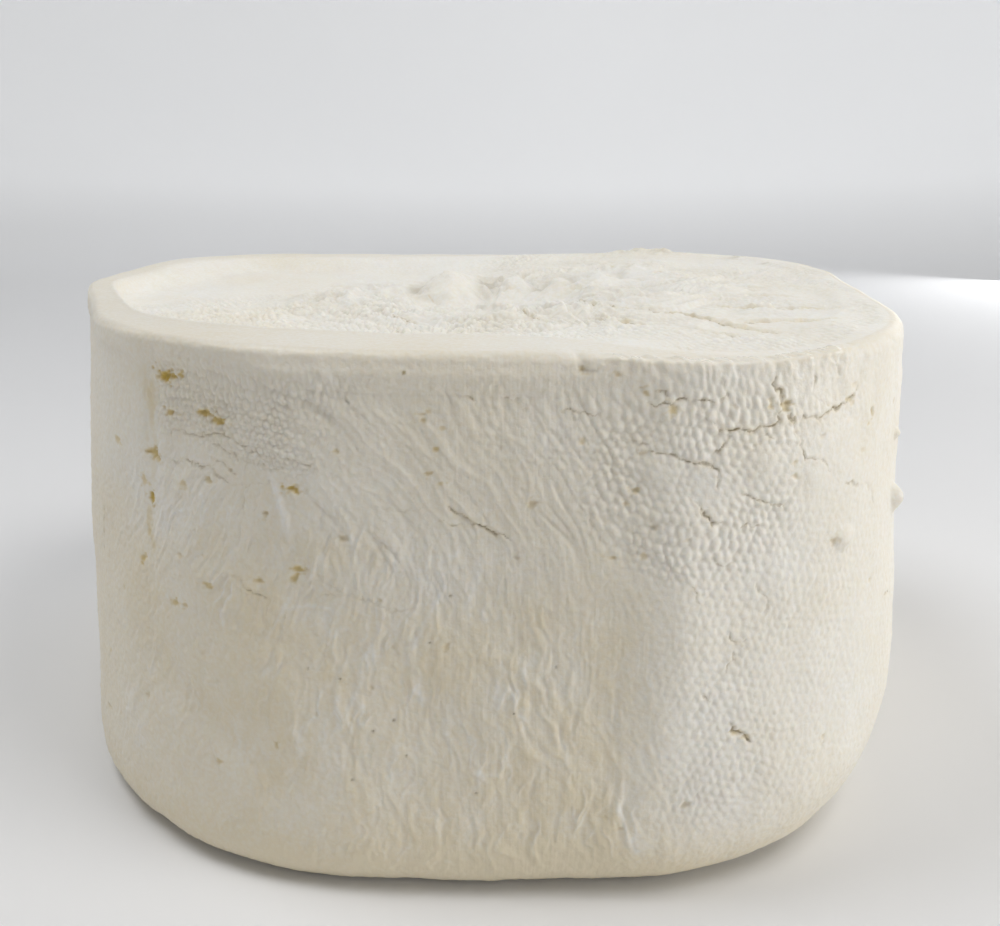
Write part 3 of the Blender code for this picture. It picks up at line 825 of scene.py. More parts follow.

# Whey holes of the wall: place (way, height), size, depth and stain, which also sets their painted
# shade.
WALL_HOLES = (
    ((-81, 129), (5.6, 3.6), 1.5, 1), ((-77.4, 129.6), (3, 2.4), 0.9, 0.9),
    ((-74, 130), (2.2, 1.6), 0.7, 0.8), ((-79, 120), (3.8, 2), 1, 0.7),
    ((-67, 121.6), (4.4, 2), 1.1, 0.85), ((-62.6, 120.2), (4, 2), 1, 0.8),
    ((-87, 108.2), (4.8, 2), 1.2, 0.75), ((-84.6, 106.8), (2, 2.4), 1, 0.6),
    ((-88, 96), (2.6, 3.2), 1.2, 1), ((-106, 108), (3.4, 1.8), 0.6, 0.5),
    ((-74, 102), (2.4, 1.3), 0.6, 0.4), ((-41, 106), (2.8, 1.9), 1.1, 0.95),
    ((-40, 85.4), (2, 2.2), 0.9, 0.7), ((-41, 82.6), (1.6, 2), 0.8, 0.6),
    ((-65, 78), (3.4, 1.7), 0.6, 0.6), ((-75, 83), (2.2, 1.6), 0.5, 0.3),
    ((-77.6, 70), (3.8, 2.2), 0.8, 0.55), ((-73.4, 70.6), (2.2, 1.6), 0.7, 0.45),
    ((-91, 100), (2.4, 4.4), 0.3, 0.45), ((-92, 78), (2.4, 2.4), 0.7, 0.65),
    ((-89.4, 86), (2.4, 4.2), 0.4, 0.45), ((-50.6, 81.2), (2.2, 1.4), 0.6, 0.5),
    ((-29.6, 115.8), (1.7, 1.3), 0.6, 0.45), ((-13.4, 135), (1.3, 1.1), 0.5, 0.55),
    ((-6, 117), (1.5, 1.2), 0.6, 0.6), ((-8, 111), (1.6, 1.1), 0.5, 0.5),
    ((-5, 109), (1.3, 1.1), 0.4, 0.4), ((-8, 126), (1.2, 1), 0.4, 0.35),
    ((-5, 122), (1.2, 1), 0.4, 0.35), ((43, 131), (2, 1.6), 0.8, 0.8),
    ((28.3, 136.2), (1.8, 1.6), 0.7, 0.7), ((36.5, 135), (2, 1.5), 0.8, 0.7),
    ((40.4, 108), (2, 1.5), 0.7, 0.6), ((38, 105), (1.8, 1.2), 0.6, 0.55),
    ((40, 108), (1.3, 1.1), 0.5, 0.4), ((35, 92), (2.4, 1.3), 0.7, 0.7),
    ((42, 93), (1.6, 1.2), 0.6, 0.6), ((42, 117), (1.6, 1.3), 0.6, 0.5),
    ((49.2, 127), (2.6, 2.2), 1, 0.9), ((28, 119), (1.6, 1.2), 0.6, 0.6),
    ((76.7, 126.6), (2.6, 3.8), 1.3, 0.75), ((98, 125.8), (2.2, 1.8), 0.7, 0.6),
    ((93, 90.8), (1.8, 2.6), 1, 0.45), ((79.4, 113), (1.6, 1.4), 0.6, 0.45),
    ((66, 45.4), (2.6, 1.8), 1, 0.7), ((69.4, 43.8), (2, 1.6), 0.8, 0.6),
    ((100, 129), (2.2, 1.6), 0.5, 0.3), ((104, 112), (2, 1.8), 0.4, 0.25),
    ((88, 118), (1.8, 1.4), 0.5, 0.25),
)

# Dry whitish strokes that stand a little proud of the wall: stations (way, height) and width.
WALL_STROKES = (
    (((-46.3, 110), (-44.8, 105), (-43.1, 97.6), (-41.4, 91.5)), 1.3),
    (((-46, 109), (-44.2, 103), (-42.9, 96)), 0.9),
    (((-4.7, 90), (-4.7, 82.4), (-6.4, 80.5), (-8.6, 75.7), (-10.5, 71.5), (-14.2, 63.5)), 0.75),
    (((4, 92), (2.3, 82.1), (0.8, 77.8), (1.1, 73.7)), 0.9), (((5.8, 80.4), (4.8, 74.3)), 0.6),
    (((9.3, 64.3), (8.6, 59.1), (6.6, 55.5)), 0.75), (((14, 54.7), (14.2, 49.7)), 0.8),
    (((19.2, 82.3), (20.6, 78.1)), 0.6), (((-45.6, 74.2), (-37.8, 76.4), (-30.1, 76.3)), 0.55),
    (((-24, 66), (-25, 58), (-27.5, 52)), 0.7), (((-33, 48), (-35, 40)), 0.7),
    (((-16, 44), (-17.5, 36), (-18, 30)), 0.7), (((3, 40), (3.6, 31)), 0.7),
    (((24, 46), (25.5, 37), (25, 30)), 0.7), (((-6, 26), (-7, 18)), 0.8),
    (((-56, 48), (-58, 38), (-57, 30)), 0.8),
)

# Dark specks: place (way, height) and size.
WALL_SPECKS = (
    ((-17, 48), 0.9), ((-22, 45), 0.8), ((-14, 39), 0.7), ((-27, 32), 0.8), ((-3, 81), 0.8),
    ((-8, 69), 0.7), ((-13.4, 135), 0.8), ((-30, 58), 0.7), ((12, 52), 0.6), ((-38, 60), 0.6),
    ((22, 64), 0.6), ((3, 30), 0.7),
)

# Smooth lumps of the wall: place (way, height), size and height over the skin.
WALL_LUMPS = (
    ((46.6, 112.4), (12, 9), 0.8), ((56.5, 110), (11, 8), 0.35), ((71, 114), (12, 9), 0.35),
    ((86, 109), (11, 9), 0.4), ((47.4, 127.6), (9, 5), 0.55), ((97.2, 91), (10.5, 6.4), 1.35),
    ((98, 117), (12, 9), 0.25), ((131.5, 92.5), (7, 8.5), 3), ((129.5, 110.8), (4, 3.4), 1.5),
    ((-58, 104), (7, 4.6), 0.25), ((-63, 31), (5, 8), 0.4),
)


def dress_wall(skin):
    """Lumps first, then cracks and holes, so that these stay crisp."""
    for place, size, height in WALL_LUMPS:
        raise_lump(skin.near("wall", place, 1.4 * max(size)), place, size, height, wipe=0.8)
    for number, (stations, width, depth, stain) in enumerate(WALL_CUTS):
        cut_line(skin.near("wall", stations, 5), stations, CUT_WIDTH * width,
                 CUT_DEPTH * depth, CUT_STAIN_AND_SHADE * stain, 100 + 3 * number)
    for number, (place, size, depth, stain) in enumerate(WALL_HOLES):
        press_hole(skin.near("wall", place, 2.5 * max(size)), place,
                   (HOLE_SIZE[0] * size[0], HOLE_SIZE[1] * size[1]), HOLE_DEPTH * depth,
                   RIGHT_HOLE_STAIN_AND_SHADE * stain if place[0] > 20 else stain, 400 + number)
    for stations, width in WALL_STROKES:
        patch = skin.near("wall", stations, 4)
        shaken = patch.across + 0.8 * patch.noise(3, 3, 0.5, 98)
        stroke = dry_stroke(shaken, patch.up, stations, width)
        patch.lift(0.22 * stroke)
        skin.warm[patch.spots] -= 0.24 * stroke
    for place, size in WALL_SPECKS:
        patch = skin.near("wall", place, 4)
        reach = np.hypot(patch.across - place[0], patch.up - place[1])
        patch.lift(-0.20 * bump(reach, 0.5 * size))
        patch.stain("dark", 0.9 * bump(reach, 0.42 * size))
    scatter_cracks(skin)
    scatter_pinholes(skin)


def scatter_cracks(skin):
    """Short cracks behind and at the two ends."""
    draw = np.random.default_rng(19)
    low, high = skin.ruler[1][0], skin.ruler[1][-1]
    for number in range(SCATTERED_CRACKS):
        way = draw.uniform(112, high - low - 118)
        way = way if way < high else way - high + low
        z = draw.uniform(46, 126)
        heading = draw.uniform(-0.5, 0.5) + (1.2 if number % 4 == 0 else 0)
        stations = [(way, z)]
        for _ in range(draw.integers(2, 5)):
            heading += draw.uniform(-0.5, 0.5)
            length = draw.uniform(3, 5.5)
            way += length * math.cos(heading)
            z += length * math.sin(heading)
            stations.append((way, min(z, 131)))
        stain = draw.uniform(0.25, 0.65)
        cut_line(skin.near("wall", stations, 5), stations, width=0.30, depth=0.40, stain=stain,
                 seed=950 + 3 * number)


def scatter_pinholes(skin):
    """Small pinholes over the wall, closer together at the upper right and behind."""
    draw = np.random.default_rng(7)
    for number in range(SCATTERED_PINHOLES):
        way = draw.uniform(skin.ruler[1][0] + 3, skin.ruler[1][-1] - 3)
        z = draw.uniform(14, 133)
        size = draw.uniform(0.7, 1.7)
        stretch = draw.uniform(0.7, 1.5)
        keep = 0.75 if 36 < way < 110 and z > 88 else 0.30
        if abs(way) > 150:
            keep = 0.9
        if draw.uniform() > keep:
            continue
        patch = skin.near("wall", (way, z), 5)
        stain = draw.uniform(0.10, 0.45)
        press_hole(patch, (way, z), (size * stretch, size / stretch), 0.35 * size, stain,
                   500 + number)


# ---------------------------------------------------------------- relief of the top

def fold_top(skin):
    """Gathers of the cloth round the tie, and its print further out, with painted shade in their
    valleys.
    """
    patch = Patch(skin, skin.top > 0.01, skin.x, skin.y)
    spots, x, y = patch.spots, patch.across, patch.up
    bearing = skin.bearing[spots]
    lip = lip_width(bearing) * (1 - 0.75 * rightness(bearing))
    inside = ramp(skin.inward[spots] - lip, 0.5, 5)
    top = skin.top[spots]
    out_x = x - FAN_MIDDLE[0]
    out_y = (y - FAN_MIDDLE[1]) * 1.1
    reach = np.hypot(out_x, out_y)
    turn = np.arctan2(out_y, out_x) + 0.35 * patch.noise(26, 26, 0.5, 71)
    gathers, pleats, threads = [
        noise(np.cos(turn) * count, np.sin(turn) * count, reach / length, seed)
        for count, length, seed in ((6.5, 26, 72), (15, 15, 73), (26, 11, 74))]
    to_right = ramp(out_x, -30, 60)
    close = ramp(reach, 6, 24) * fade(reach, 42, 74 + 44 * to_right)
    folds = (1.7 * gathers + 1.3 * pleats) * (1 - 0.7 * ramp(-x, -8, 16) * ramp(-y, -4, 12))
    fine = ramp(reach, 14, 40) * fade(reach, 60, 84 + 36 * to_right)
    patch.lift(inside * top * (close * folds + 0.5 * fine * threads))
    knots = layered(x / 7, y / 7, x * 0 + 3.5, 75, 2)
    patch.lift(top * 1.8 * bump(x - 6, 26) * bump(y - 5, 17) * knots)

    weave = ramp(reach, 22, 40) * inside * (1 - 0.6 * to_right)
    weave = np.clip(1.3 * weave * (0.65 + 0.6 * patch.noise(16, 16, 4.5, 76)), 0, 1)
    weave *= 1 - 0.9 * ramp(y - 0.3 * x, 14, 42) * ramp(-x, -24, 6)
    warped_x = x + 1.8 * patch.noise(14, 14, 5.5, 77)
    warped_y = y + 1.8 * patch.noise(14, 14, 6.5, 78)
    grid = beads(warped_x / BEAD_ACROSS, warped_y / BEAD_UP, 79) - 0.5
    patch.lift(top * 1.30 * weave * grid)
    ripple = np.sin(2 * math.pi * (reach + 2.6 * patch.noise(9, 9, 9.5, 83)) / 8)
    ripple *= fine * fade(x, 10, 50) * fade(y, 10, 40)
    patch.lift(inside * top * 0.60 * ripple)
    # Painted shade in the valleys of the folds, the print, the threads and the ripples.
    shade = 0.07 * ramp(-close * folds, 0.4, 2) + 0.20 * weave * ramp(-grid, -0.1, 0.45)
    shade += 0.08 * fine * ramp(-threads, 0.1, 0.6) + 0.07 * ramp(-ripple, 0, 0.8)
    patch.stain("dark", inside * top * shade)
    slow = 0.60 * patch.noise(18, 18, 7.5, 80) + 0.16 * patch.noise(6, 6, 0, 81)
    patch.lift(top * (inside * slow + (1 - inside) * 0.25 * patch.noise(16, 16, 8.5, 82)))


# Smooth lobes between the hollows of the scar: place (x, y), size and height; the higher a lobe, the
# paler its painted light.
TOP_LOBES = (
    ((-9, 26), (23, 52), 5.8), ((14, 30), (13, 26), 2.6), ((28, 26), (12, 24), 2.4),
    ((45, 24), (13, 20), 1.8), ((-30, 20), (15, 26), 2), ((-40, 4), (12, 30), 1.2),
    ((62, 30), (16, 16), 1.2),
)

# Hollows of the scar: place (x, y), size, depth and the strength of their painted shade.
TOP_HOLLOWS = (
    ((4, 42), (8, 34), 2.8, 0.4), ((-20.5, 32), (6, 26), 2.2, 0.38),
    ((25, 28), (6.5, 18), 2.2, 0.34), ((34, 34), (10, 15), 2, 0.32), ((52, 34), (6, 12), 1.2, 0.18),
)

# Dry whitish strokes of the top: stations (x, y) and width.
TOP_STROKES = (
    (((-91, -39), (-85, -40.5), (-79, -40)), 1.2), (((-74, -32), (-66, -28), (-57, -24)), 1.1),
    (((-63, -44), (-52, -41)), 0.9), (((-41, -10), (-42, 8), (-38, 30)), 1.6),
    (((-38, 30), (-33, 25), (-27, 17)), 1.4), (((84, 6), (91, 4), (96, 5)), 1.6),
    (((40, -14), (47, -20), (56, -24)), 1.1),
)

# Cracks and folds of the top: stations (x, y), width, depth and stain, which darkens their bottoms
# partly with painted shade; the last two are scaled.
TOP_CUT_DEPTH = 1.2
TOP_CUT_STAIN_AND_SHADE = 1.5
TOP_CUTS = (
    (((10, -24), (18, -38), (23, -47)), 0.7, 0.9, 0.55),
    (((-23, -32), (-15, -41), (-10, -46)), 0.6, 0.8, 0.5),
    (((-23, -47), (-20, -55), (-18, -59)), 0.6, 0.7, 0.35), (((34, -48), (48, -62)), 0.8, 1, 0.45),
    (((60, -66), (67, -75), (74, -82)), 0.8, 0.8, 0.3),
    (((52, -40), (60, -49), (67, -57), (74, -65), (82, -73)), 0.8, 1.2, 0.65),
    (((28, -19), (36, -27), (43, -33), (50, -39)), 0.8, 1.1, 0.55),
    (((72, -37), (85, -37.5), (94, -39.5), (109, -42)), 0.8, 1.2, 0.65),
    (((76, -59.5), (88, -60.5), (101, -61)), 0.8, 1.2, 0.65),
    (((87, -16), (94, -19), (100, -19)), 1, 0.9, 0.35),
    (((62, -2), (74, -12), (88, -19)), 1, 0.8, 0.2), (((47, 30), (60, 21)), 1.4, 1.1, 0.3),
    (((36, 14), (50, 12), (66, 14)), 1, 0.7, 0.15), (((30, 24), (44, 32), (58, 44)), 1, 0.7, 0.15),
    (((54, 26), (70, 30), (86, 30)), 0.9, 0.6, 0.15),
    (((-24, 18), (-38, 28), (-54, 40)), 1.2, 0.7, 0.12),
    (((-28, 6), (-46, 8), (-66, 14)), 1, 0.6, 0.1),
    (((-22, -8), (-38, -18), (-52, -30)), 0.9, 0.6, 0.12),
    (((-10, 22), (-16, 38), (-20, 56)), 1.2, 0.8, 0.12),
    (((8, 26), (10, 44), (14, 62)), 1.2, 0.8, 0.12), (((20, 22), (30, 40), (36, 58)), 1, 0.7, 0.12),
)

# Whey holes of the top: place (x, y), size, depth and stain, which also sets their painted shade.
TOP_HOLES = (
    ((-22, -30), (3, 2.4), 0.9, 0.5), ((-17, -42), (2.6, 2), 0.8, 0.35),
    ((12, 22), (5, 3.4), 1, 0.15), ((36, 18), (5, 3), 0.9, 0.12), ((52, 60), (3, 2.4), 0.7, 0.25),
    ((-4, 48), (2.6, 2.2), 0.6, 0.2), ((66, 30), (3, 2), 0.6, 0.25),
    ((-46, 30), (3.4, 2.4), 0.5, 0.12),
)

# Crumbs of curd on the rim: place (x, y), size and height.
TOP_CRUMBS = (
    ((60, 97.5), (8, 5), 1.1), ((67, 95.5), (11, 7), 1.7), ((75.5, 92.5), (10, 7), 1.9),
    ((104, 76), (8, 5), 1.1), ((112, 62), (6, 4), 0.8),
)


def shape_scar(skin):
    """The lobes round the tie, with painted light on them, the hollows, with painted shade in them,
    and the filled pit in front of them.
    """
    pit = np.hypot(skin.x - PIT[0], skin.y - PIT[1]) / PIT_REACH
    skin.relief += PIT_FILL * skin.top * np.exp(-(pit ** 4))
    for place, size, height in TOP_LOBES:
        patch = skin.near("top", place, 0.8 * max(size))
        raise_lump(patch, place, size, height, wipe=0.6, steep=-1)
        # Painted light: the lobes are painted paler, as where light falls on them, and painted shade
        # is wiped off them.
        pale = bump(np.hypot(*patch.oval(place, size)), 0.9)
        skin.warm[patch.spots] -= (0.14 + 0.10 * height) * pale
        skin.dark[patch.spots] *= 1 - 0.9 * pale
    for number, (place, size, depth, stain) in enumerate(TOP_HOLLOWS):
        patch = skin.near("top", place, 1.6 * max(size))
        reach = np.hypot(*patch.oval(place, size))
        reach *= 1 + 0.35 * patch.noise(4, 6, 2.5, 860 + number)
        hollow = np.exp(-(reach ** 2.5))
        patch.lift(-depth * hollow)
        # Painted shade in the hollow.
        patch.stain("dark", stain * hollow)
    for stations, width in TOP_STROKES:
        patch = skin.near("top", stations, 5)
        shaken = patch.up + 0.9 * patch.noise(3.5, 3.5, 0.5, 99)
        stroke = dry_stroke(patch.across, shaken, stations, width)
        patch.lift(0.75 * stroke)
        skin.warm[patch.spots] -= 0.40 * stroke
        skin.dark[patch.spots] *= 1 - 0.9 * stroke


def dress_top(skin):
    """Cracks and holes of the top, and craggy crumbs of curd on its rim, with painted shade between
    their crags.
    """
    for number, (stations, width, depth, stain) in enumerate(TOP_CUTS):
        cut_line(skin.near("top", stations, 6), stations, width, TOP_CUT_DEPTH * depth,
                 min(1, TOP_CUT_STAIN_AND_SHADE * stain), 700 + 3 * number, least=0.55)
    for number, (place, size, depth, stain) in enumerate(TOP_HOLES):
        press_hole(skin.near("top", place, 2.5 * max(size)), place, size, depth, stain,
                   800 + number)
    for number, (place, size, height) in enumerate(TOP_CRUMBS):
        patch = skin.near("top", place, 1.2 * max(size))
        reach = np.hypot(*patch.oval(place, size))
        x = patch.across
        crag = layered(x / 3.4, patch.up / 3.4, x * 0 + 1.5, 880 + 2 * number, 2)
        patch.lift(height * bump(reach, 0.9) * np.clip(0.85 + 0.7 * crag, 0.2, 1.25))
        # Painted shade in the hollows between the crags.
        patch.stain("dark", 0.25 * bump(reach, 1) * ramp(-crag, 0, 0.5))


def rough_rim(skin):
    """The torn, moist edge over the front right, with a painted highlight along its crest, and the
    notch in the lip, with painted shade in it.
    """
    way, z, inward = skin.way, skin.z, skin.inward
    along = between(way, 26, 40, 92, 112)
    edge = bump(inward - 1, 5) * ramp(z, 133, 136)
    crest = bump(inward - 2.2, 1.3) * ramp(z, 133, 136)
    chips = layered(way / 3.2, inward / 3.2, z / 5, 91, 2)
    up = skin.normals[:, 2]
    corner = 1 / np.maximum(up, np.sqrt(np.clip(1 - up * up, 0.25, 1))) - 1
    corner *= edge_radius(skin.bearing) * ramp(z, 131, 134)
    skin.relief += along * (0.30 * edge * chips + crest * (0.45 + 0.4 * chips) + 0.85 * corner)
    # Painted highlight: the crest of the torn edge is painted whiter, as a glint.
    skin.warm -= 0.40 * along * crest
    skin.stain("moist", edge * along * (0.75 + 0.4 * chips))
    skin.stain("moist", 0.45 * between(way, 34, 46, 96, 112) * ramp(z, 84, 104) * skin.wall)
    lip = ramp(z, 133.5, 135.5) * between(way, -130, -100, 24, 34)
    skin.stain("moist", 0.35 * lip * (inward < 24))
    notch = bump(way - NOTCH, 1.3) * ramp(z, 134, 137.5) * bump(inward, 5)
    crack = bump(z - 135.8, 0.5) * between(way, 26, 28, 31, 33) * skin.wall
    skin.relief -= 0.8 * notch + 0.3 * crack
    # Painted shade in the notch and in the short crack beside it.
    skin.stain("dark", np.maximum(0.2 * notch, 0.25 * crack))


def paint(skin):
    """Warm, pale and moist places that follow the shape of the block: partly the curd's own tone,
    partly painted light and shade.
    """
    way, x, y, z = skin.way, skin.x, skin.y, skin.z
    bearing = np.degrees(skin.bearing) % 360
    lip_wide = lip_width(skin.bearing)
    cloud = layered(x / 32, y / 32, z / 32, 95, 3)
    foot = fade(z + 3 * cloud, 2, 24)
    middle = ramp(skin.inward - (1 - rightness(skin.bearing)) * lip_wide, -3, 5)
    inside = middle * np.clip(skin.inward, 0, 1)
    # Warmer and darker over the wall and the lip, paler over the top, palest near its middle: partly
    # the curd's own tone, partly painted shade on the wall and painted light on the top.
    skin.warm += 0.50 - (0.37 + 0.15 * bump(np.hypot(x - 10, y), 70)) * inside + 0.10 * cloud
    right = between(way, 34, 62, 150, 190) * (1 - 0.7 * foot)
    # The lip's top and the right end of the wall are painted paler: partly their own tone, partly
    # painted light where the light falls.
    skin.warm -= 0.20 * (1 - middle) * skin.top + 0.26 * right * skin.wall
    skin.warm += 0.10 * middle * skin.top * between(-x, 40, 70, 84, 100)
    skin.warm += fade(way, 30, 50) * skin.wall * (0.13 - 0.22 * ramp(z, 70, 112))
    # The lip is darkened a little, most round its left end.
    lip = (1 - middle) * skin.top * ramp(z, 130, 134)
    skin.stain("dark", lip * (0.08 + 0.11 * bump(bearing - 200, 36)))
    # Painted highlight: the inner edge of the lip round the left end is raised, painted paler and
    # cleared of shade, as where it catches the light.
    edge = bump(skin.inward - lip_wide + 0.6, 0.9) * skin.top * between(bearing, 160, 185, 232, 262)
    skin.relief += 0.45 * edge
    skin.warm -= 0.30 * edge
    skin.dark *= 1 - 0.8 * edge
    skin.warm += (0.20 + 0.45 * bump(way - 10, 70)) * foot * skin.wall
    seam = bump(way + SEAM + 2 * sheet(z / 9, z * 0 + 0.5, 0.5, 96), 2.2)
    seam *= between(z, 60, 70, 124, 134) * ramp(sheet(way / 3, z / 9, 1.5, 97), -0.2, 0.5)
    skin.stain("whey", 0.30 * seam * skin.wall)
    skin.stain("moist", 0.25 * foot)
    for field in (skin.whey, skin.dark, skin.warm, skin.moist):
        np.clip(field, 0, 1, out=field)


# ---------------------------------------------------------------- the piece and its material

def unwrap(skin, mesh):
    """Lay the wall out as two strips and the top and the base as two discs."""
    corners, sizes, starts = face_layout(skin.quads, skin.triangles)
    on_base = (corners < skin.base_points) | (corners == len(skin.x) - 2)
    touches_base = np.repeat(np.maximum.reduceat(on_base.astype(int), starts), sizes)
    u = DISC_MIDDLE[0] + skin.x[corners] + DISC_STEP * touches_base
    v = DISC_MIDDLE[1] + skin.y[corners]
    way = skin.way[skin.base_points:skin.base_points + COLUMNS]
    way = np.append(way, skin.ruler[1][-1]) - skin.ruler[1][0]
    row, column = np.divmod(np.arange(WALL_ROWS * COLUMNS), COLUMNS)
    later = (column >= COLUMNS // 2)[:, None]
    columns = np.stack((column, column + 1, column + 1, column), axis=1)
    rows = np.stack((row, row, row + 1, row + 1), axis=1)
    # The first ring of quads joins the base to the wall.
    wall = slice(4 * COLUMNS, 4 * (WALL_ROWS + 1) * COLUMNS)
    u[wall] = (STRIP_EDGE + way[columns] - later * way[COLUMNS // 2]).ravel()
    v[wall] = (STRIP_EDGE + rows * (STRIP_HEIGHT / WALL_ROWS) + later * STRIP_STEP).ravel()
    layer = mesh.uv_layers.new(name="OFBake")
    places = np.stack((u, v), axis=1) / SHEET_SIDE
    layer.data.foreach_set("uv", places.astype(np.float32).ravel())


class Shader:
    """Short ways to add nodes to a material."""

    def __init__(self, name):
        self.material = bpy.data.materials.new(name)
        self.material.use_nodes = True
        self.tree = self.material.node_tree
        self.out = self.tree.nodes["Principled BSDF"]
        self.place = self.add("TexCoord", "Object")

    def feed(self, node, inputs):
        """Link or set the inputs of a node."""
        for name, value in inputs.items():
            if isinstance(value, bpy.types.NodeSocket):
                self.tree.links.new(value, node.inputs[name])
            else:
                node.inputs[name].default_value = value

    def add(self, kind, result, inputs=None, **settings):
        """Add a node, set it up and give one of its outputs."""
        node = self.tree.nodes.new("ShaderNode" + kind)
        for name, value in settings.items():
            setattr(node, name, value)
        self.feed(node, inputs or {})
        return node.outputs[result]

    def field(self, name):
        """What is stored point by point."""
        return self.add("Attribute", "Fac", attribute_type="GEOMETRY", attribute_name=name)

    def noise(self, size, detail, roughness=0.5):
        """Noise whose features are so many metres wide."""
        return self.add("TexNoise", "Fac", {
            "Vector": self.place, "Scale": 1 / size, "Detail": detail, "Roughness": roughness})

    def ranged(self, source, low, high, to_low, to_high):
        """Stretch one range onto another."""
        return self.add("MapRange", "Result", {
            "Value": source, "From Min": low, "From Max": high, "To Min": to_low, "To Max": to_high})

    def sum(self, first, second):
        """Add two values."""
        return self.add("Math", "Value", {0: first, 1: second}, operation="ADD")

    def product(self, first, second):
        """Multiply two values."""
        return self.add("Math", "Value", {0: first, 1: second}, operation="MULTIPLY")

    def mix(self, share, first, second):
        """Blend two colours: inputs 6 and 7 and output 2 of a mix node are its colours."""
        return self.add("Mix", 2, {0: share, 6: first, 7: second}, data_type="RGBA")

    def bump(self, height, strength, distance, **under):
        """Fine relief in the shading, over the relief under it."""
        return self.add("Bump", "Normal", {
            "Height": height, "Strength": strength, "Distance": distance, **under})


# The two ivories of the curd, and what is laid over them: warmth (partly painted light and shade),
# whey, real dark specks together with painted shade, and the brown bottoms of cracks (partly stain,
# partly painted shade).
IVORY = (0.878, 0.860, 0.808, 1)
PALE_IVORY = (0.898, 0.884, 0.840, 1)
WARM_IVORY = (0.815, 0.726, 0.545, 1)
OCHRE = (0.640, 0.450, 0.085, 1)
SHADE_AND_SPECK_BROWN = (0.270, 0.215, 0.115, 1)
CRACK_BROWN = (0.340, 0.260, 0.135, 1)


def cheese_material():
    """Fresh white cheese: ivory, warmer low down, ochre where whey stood, moist in places, with
    painted shade and painted highlights laid into its colour.
    """
    shader = Shader("fresh_cheese")
    cloud = shader.ranged(shader.noise(0.040, 3), 0.35, 0.68, 0, 1)
    curd = shader.ranged(shader.noise(0.006, 4, 0.6), 0.32, 0.70, 0, 1)
    grain = shader.noise(0.0011, 3, 0.55)
    cloud = shader.sum(cloud, shader.ranged(grain, 0.3, 0.7, -0.9, 0.9))
    share = shader.sum(shader.field("warm"), shader.product(cloud, 0.20))
    ivory = shader.mix(curd, IVORY, PALE_IVORY)
    colour = shader.mix(share, ivory, WARM_IVORY)
    colour = shader.mix(shader.field("whey"), colour, OCHRE)
    # Painted shade in creases, hollows and holes, mixed in with the real dark specks.
    colour = shader.mix(shader.field("dark"), colour, SHADE_AND_SPECK_BROWN)
    # The brown line at the bottom of cracks and creases: partly stain, partly painted shade.
    ragged = shader.ranged(shader.noise(0.0009, 3), 0.25, 0.75, -0.22, 0.22)
    line = shader.ranged(shader.sum(shader.field("gap"), ragged), 0.08, 0.38, 1, 0)
    line = shader.product(line, shader.field("split"))
    gloss = shader.product(shader.field("moist"), -0.30)
    fine = shader.bump(grain, 0.32, 0.0004)
    pores = shader.bump(shader.noise(0.0032, 4, 0.6), 0.36, 0.0006, Normal=fine)
    shader.feed(shader.out, {
        "Base Color": shader.mix(line, colour, CRACK_BROWN),
        "Roughness": shader.sum(gloss, shader.ranged(grain, 0.3, 0.7, 0.44, 0.58)),
        "Normal": shader.bump(shader.product(line, -1), 0.6, 0.0004, Normal=pores),
        "Subsurface Weight": 0.12,
        "Subsurface Radius": (1, 0.72, 0.42),
        "Subsurface Scale": 0.003,
        "IOR": 1.40,
        "Specular IOR Level": 0.5,
    })
    return shader.material


def add_object(name, data):
    """Put an object into the scene."""
    made = bpy.data.objects.new(name, data)
    bpy.context.scene.collection.objects.link(made)
    return made


def dress_block():
    """Press, paint and place the block."""
    skin = Skin()
    for work in (soften_wall, press_print, press_ribs, pull_lines, dress_wall,
                 fold_top, shape_scar, dress_top, rough_rim, paint):
        work(skin)
    points = skin.points() + skin.normals * (skin.relief * MM)[:, None]
    points[:, 2] = np.maximum(points[:, 2], 0)
    mesh = make_mesh("fresh_cheese_block", points, skin.quads, skin.triangles)
    unwrap(skin, mesh)
    for name in PAINTS:
        field = mesh.attributes.new(name, "FLOAT", "POINT")
        field.data.foreach_set("value", getattr(skin, name).astype(np.float32))
    mesh.materials.append(cheese_material())
    piece = add_object("fresh_cheese_block", mesh)
    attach(piece, "root")
    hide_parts(NODE)


# ---------------------------------------------------------------- floor, light and camera

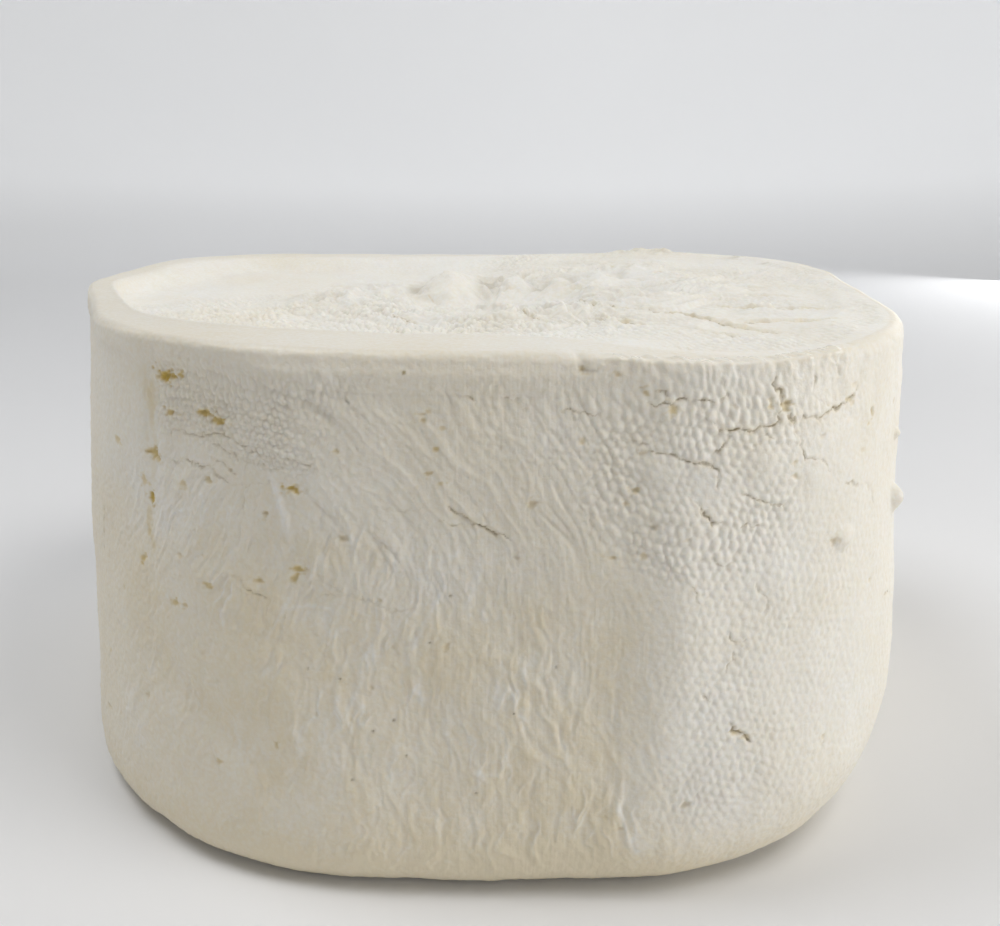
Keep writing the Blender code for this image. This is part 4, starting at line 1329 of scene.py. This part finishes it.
def add_floor():
    """A plain pale floor that curves up into a round backdrop, which glows a little, most behind the
    block; the floor also glows faintly to the left of the block, lighting its lower left.
    """
    profile = [(0.6, 0), (FLOOR_REACH, 0)]
    for turn in np.linspace(0, 0.5 * math.pi, 13)[1:]:
        profile.append((FLOOR_REACH + FLOOR_CURVE * math.sin(turn),
                        FLOOR_CURVE * (1 - math.cos(turn))))
    profile.append((FLOOR_REACH + FLOOR_CURVE, BACKDROP_TOP))
    spokes = np.radians(np.arange(FLOOR_SPOKES) * (360 / FLOOR_SPOKES))
    rings = [np.stack((out * np.cos(spokes), out * np.sin(spokes), height + 0 * spokes), axis=1)
             for out, height in profile]
    starts = FLOOR_SPOKES * np.arange(len(profile) + 1)
    quads = [stitch(FLOOR_SPOKES, FLOOR_SPOKES, outer, inner)
             for inner, outer in zip(starts[:-2], starts[1:-1])]
    mesh = make_mesh("floor", np.concatenate((*rings, np.zeros((1, 3)))), np.concatenate(quads),
                     fan(FLOOR_SPOKES, 0, starts[-1], 1))
    floor = add_object("floor", mesh)
    floor.location.z = -0.0002
    shader = Shader("pale_floor")
    axes = shader.tree.nodes.new("ShaderNodeSeparateXYZ")
    shader.feed(axes, {"Vector": shader.place})
    x, y, z = axes.outputs
    behind = shader.product(shader.ranged(y, -0.9, 1.7, FRONT_GLOW, BACK_GLOW),
                            shader.ranged(x, -1.6, 0.2, 0.68, 1))
    raised = shader.ranged(shader.sum(z, shader.product(y, 0.18)), 0.08, 0.40, 0, 1)
    # Painted light: the floor to the left of the block glows faintly, as a fill for the block's lower
    # left.
    near = shader.product(shader.ranged(x, -0.50, -0.10, 0.04, 0), shader.ranged(z, 0, 0.05, 1, 0))
    shader.feed(shader.out, {
        "Emission Strength": shader.sum(shader.product(behind, raised), near),
        "Emission Color": (0.97, 0.985, 1, 1),
        "Base Color": (0.825, 0.825, 0.83, 1),
        "Roughness": 0.75,
    })
    shader.material.cycles.emission_sampling = "NONE"
    mesh.materials.append(shader.material)


DAYLIGHT = (1, 0.99, 0.97)
WALL_LIGHT = (0.98, 0.99, 1)
# Soft round lamps: degrees round from the right-hand end and up, power and colour.
LAMPS = {
    "window": (-30, 58, 5.5, DAYLIGHT),
    "low_window": (-25, 8, 1.85, DAYLIGHT),
    "right_window": (-8, 8, 2.9, DAYLIGHT),
    "left_wall": (180, 66, 6.2, WALL_LIGHT),
    "back_right": (50, 8, 1.7, WALL_LIGHT),
}


def add_light():
    """Daylight from the front right and above, and softer light from the left and behind."""
    world = bpy.data.worlds.new("studio")
    world.use_nodes = True
    background = world.node_tree.nodes["Background"]
    background.inputs["Color"].default_value = (0.93, 0.96, 1, 1)
    background.inputs["Strength"].default_value = 0.01
    bpy.context.scene.world = world
    for name, (azimuth, elevation, power, colour) in LAMPS.items():
        turn, rise = math.radians(azimuth), math.radians(elevation)
        away = Vector((math.cos(rise) * math.cos(turn), math.cos(rise) * math.sin(turn),
                       math.sin(rise)))
        light = bpy.data.lights.new(name, "AREA")
        light.shape = "DISK"
        light.size = LAMP_SIZE
        light.energy = power
        light.color = colour
        lamp = add_object(name, light)
        lamp.visible_camera = False
        lamp.location = LAMP_TARGET + LAMP_DISTANCE * away
        lamp.rotation_euler = (-away).to_track_quat("-Z", "Y").to_euler()


def add_camera():
    """The camera that saw the block: close, a little above its top, looking slightly down."""
    camera = bpy.data.cameras.new("camera")
    camera.lens = 37.8
    camera.sensor_width = 36
    camera.shift_y = -0.113
    camera.clip_start = 0.01
    eye = add_object("camera", camera)
    eye.location = (0.0100, -0.3389, 0.1876)
    eye.rotation_euler = (math.radians(78.69), 0, 0)
    bpy.context.scene.camera = eye


add_camera()
add_floor()
add_light()
dress_block()
bpy.context.scene.view_settings.view_transform = "Standard"
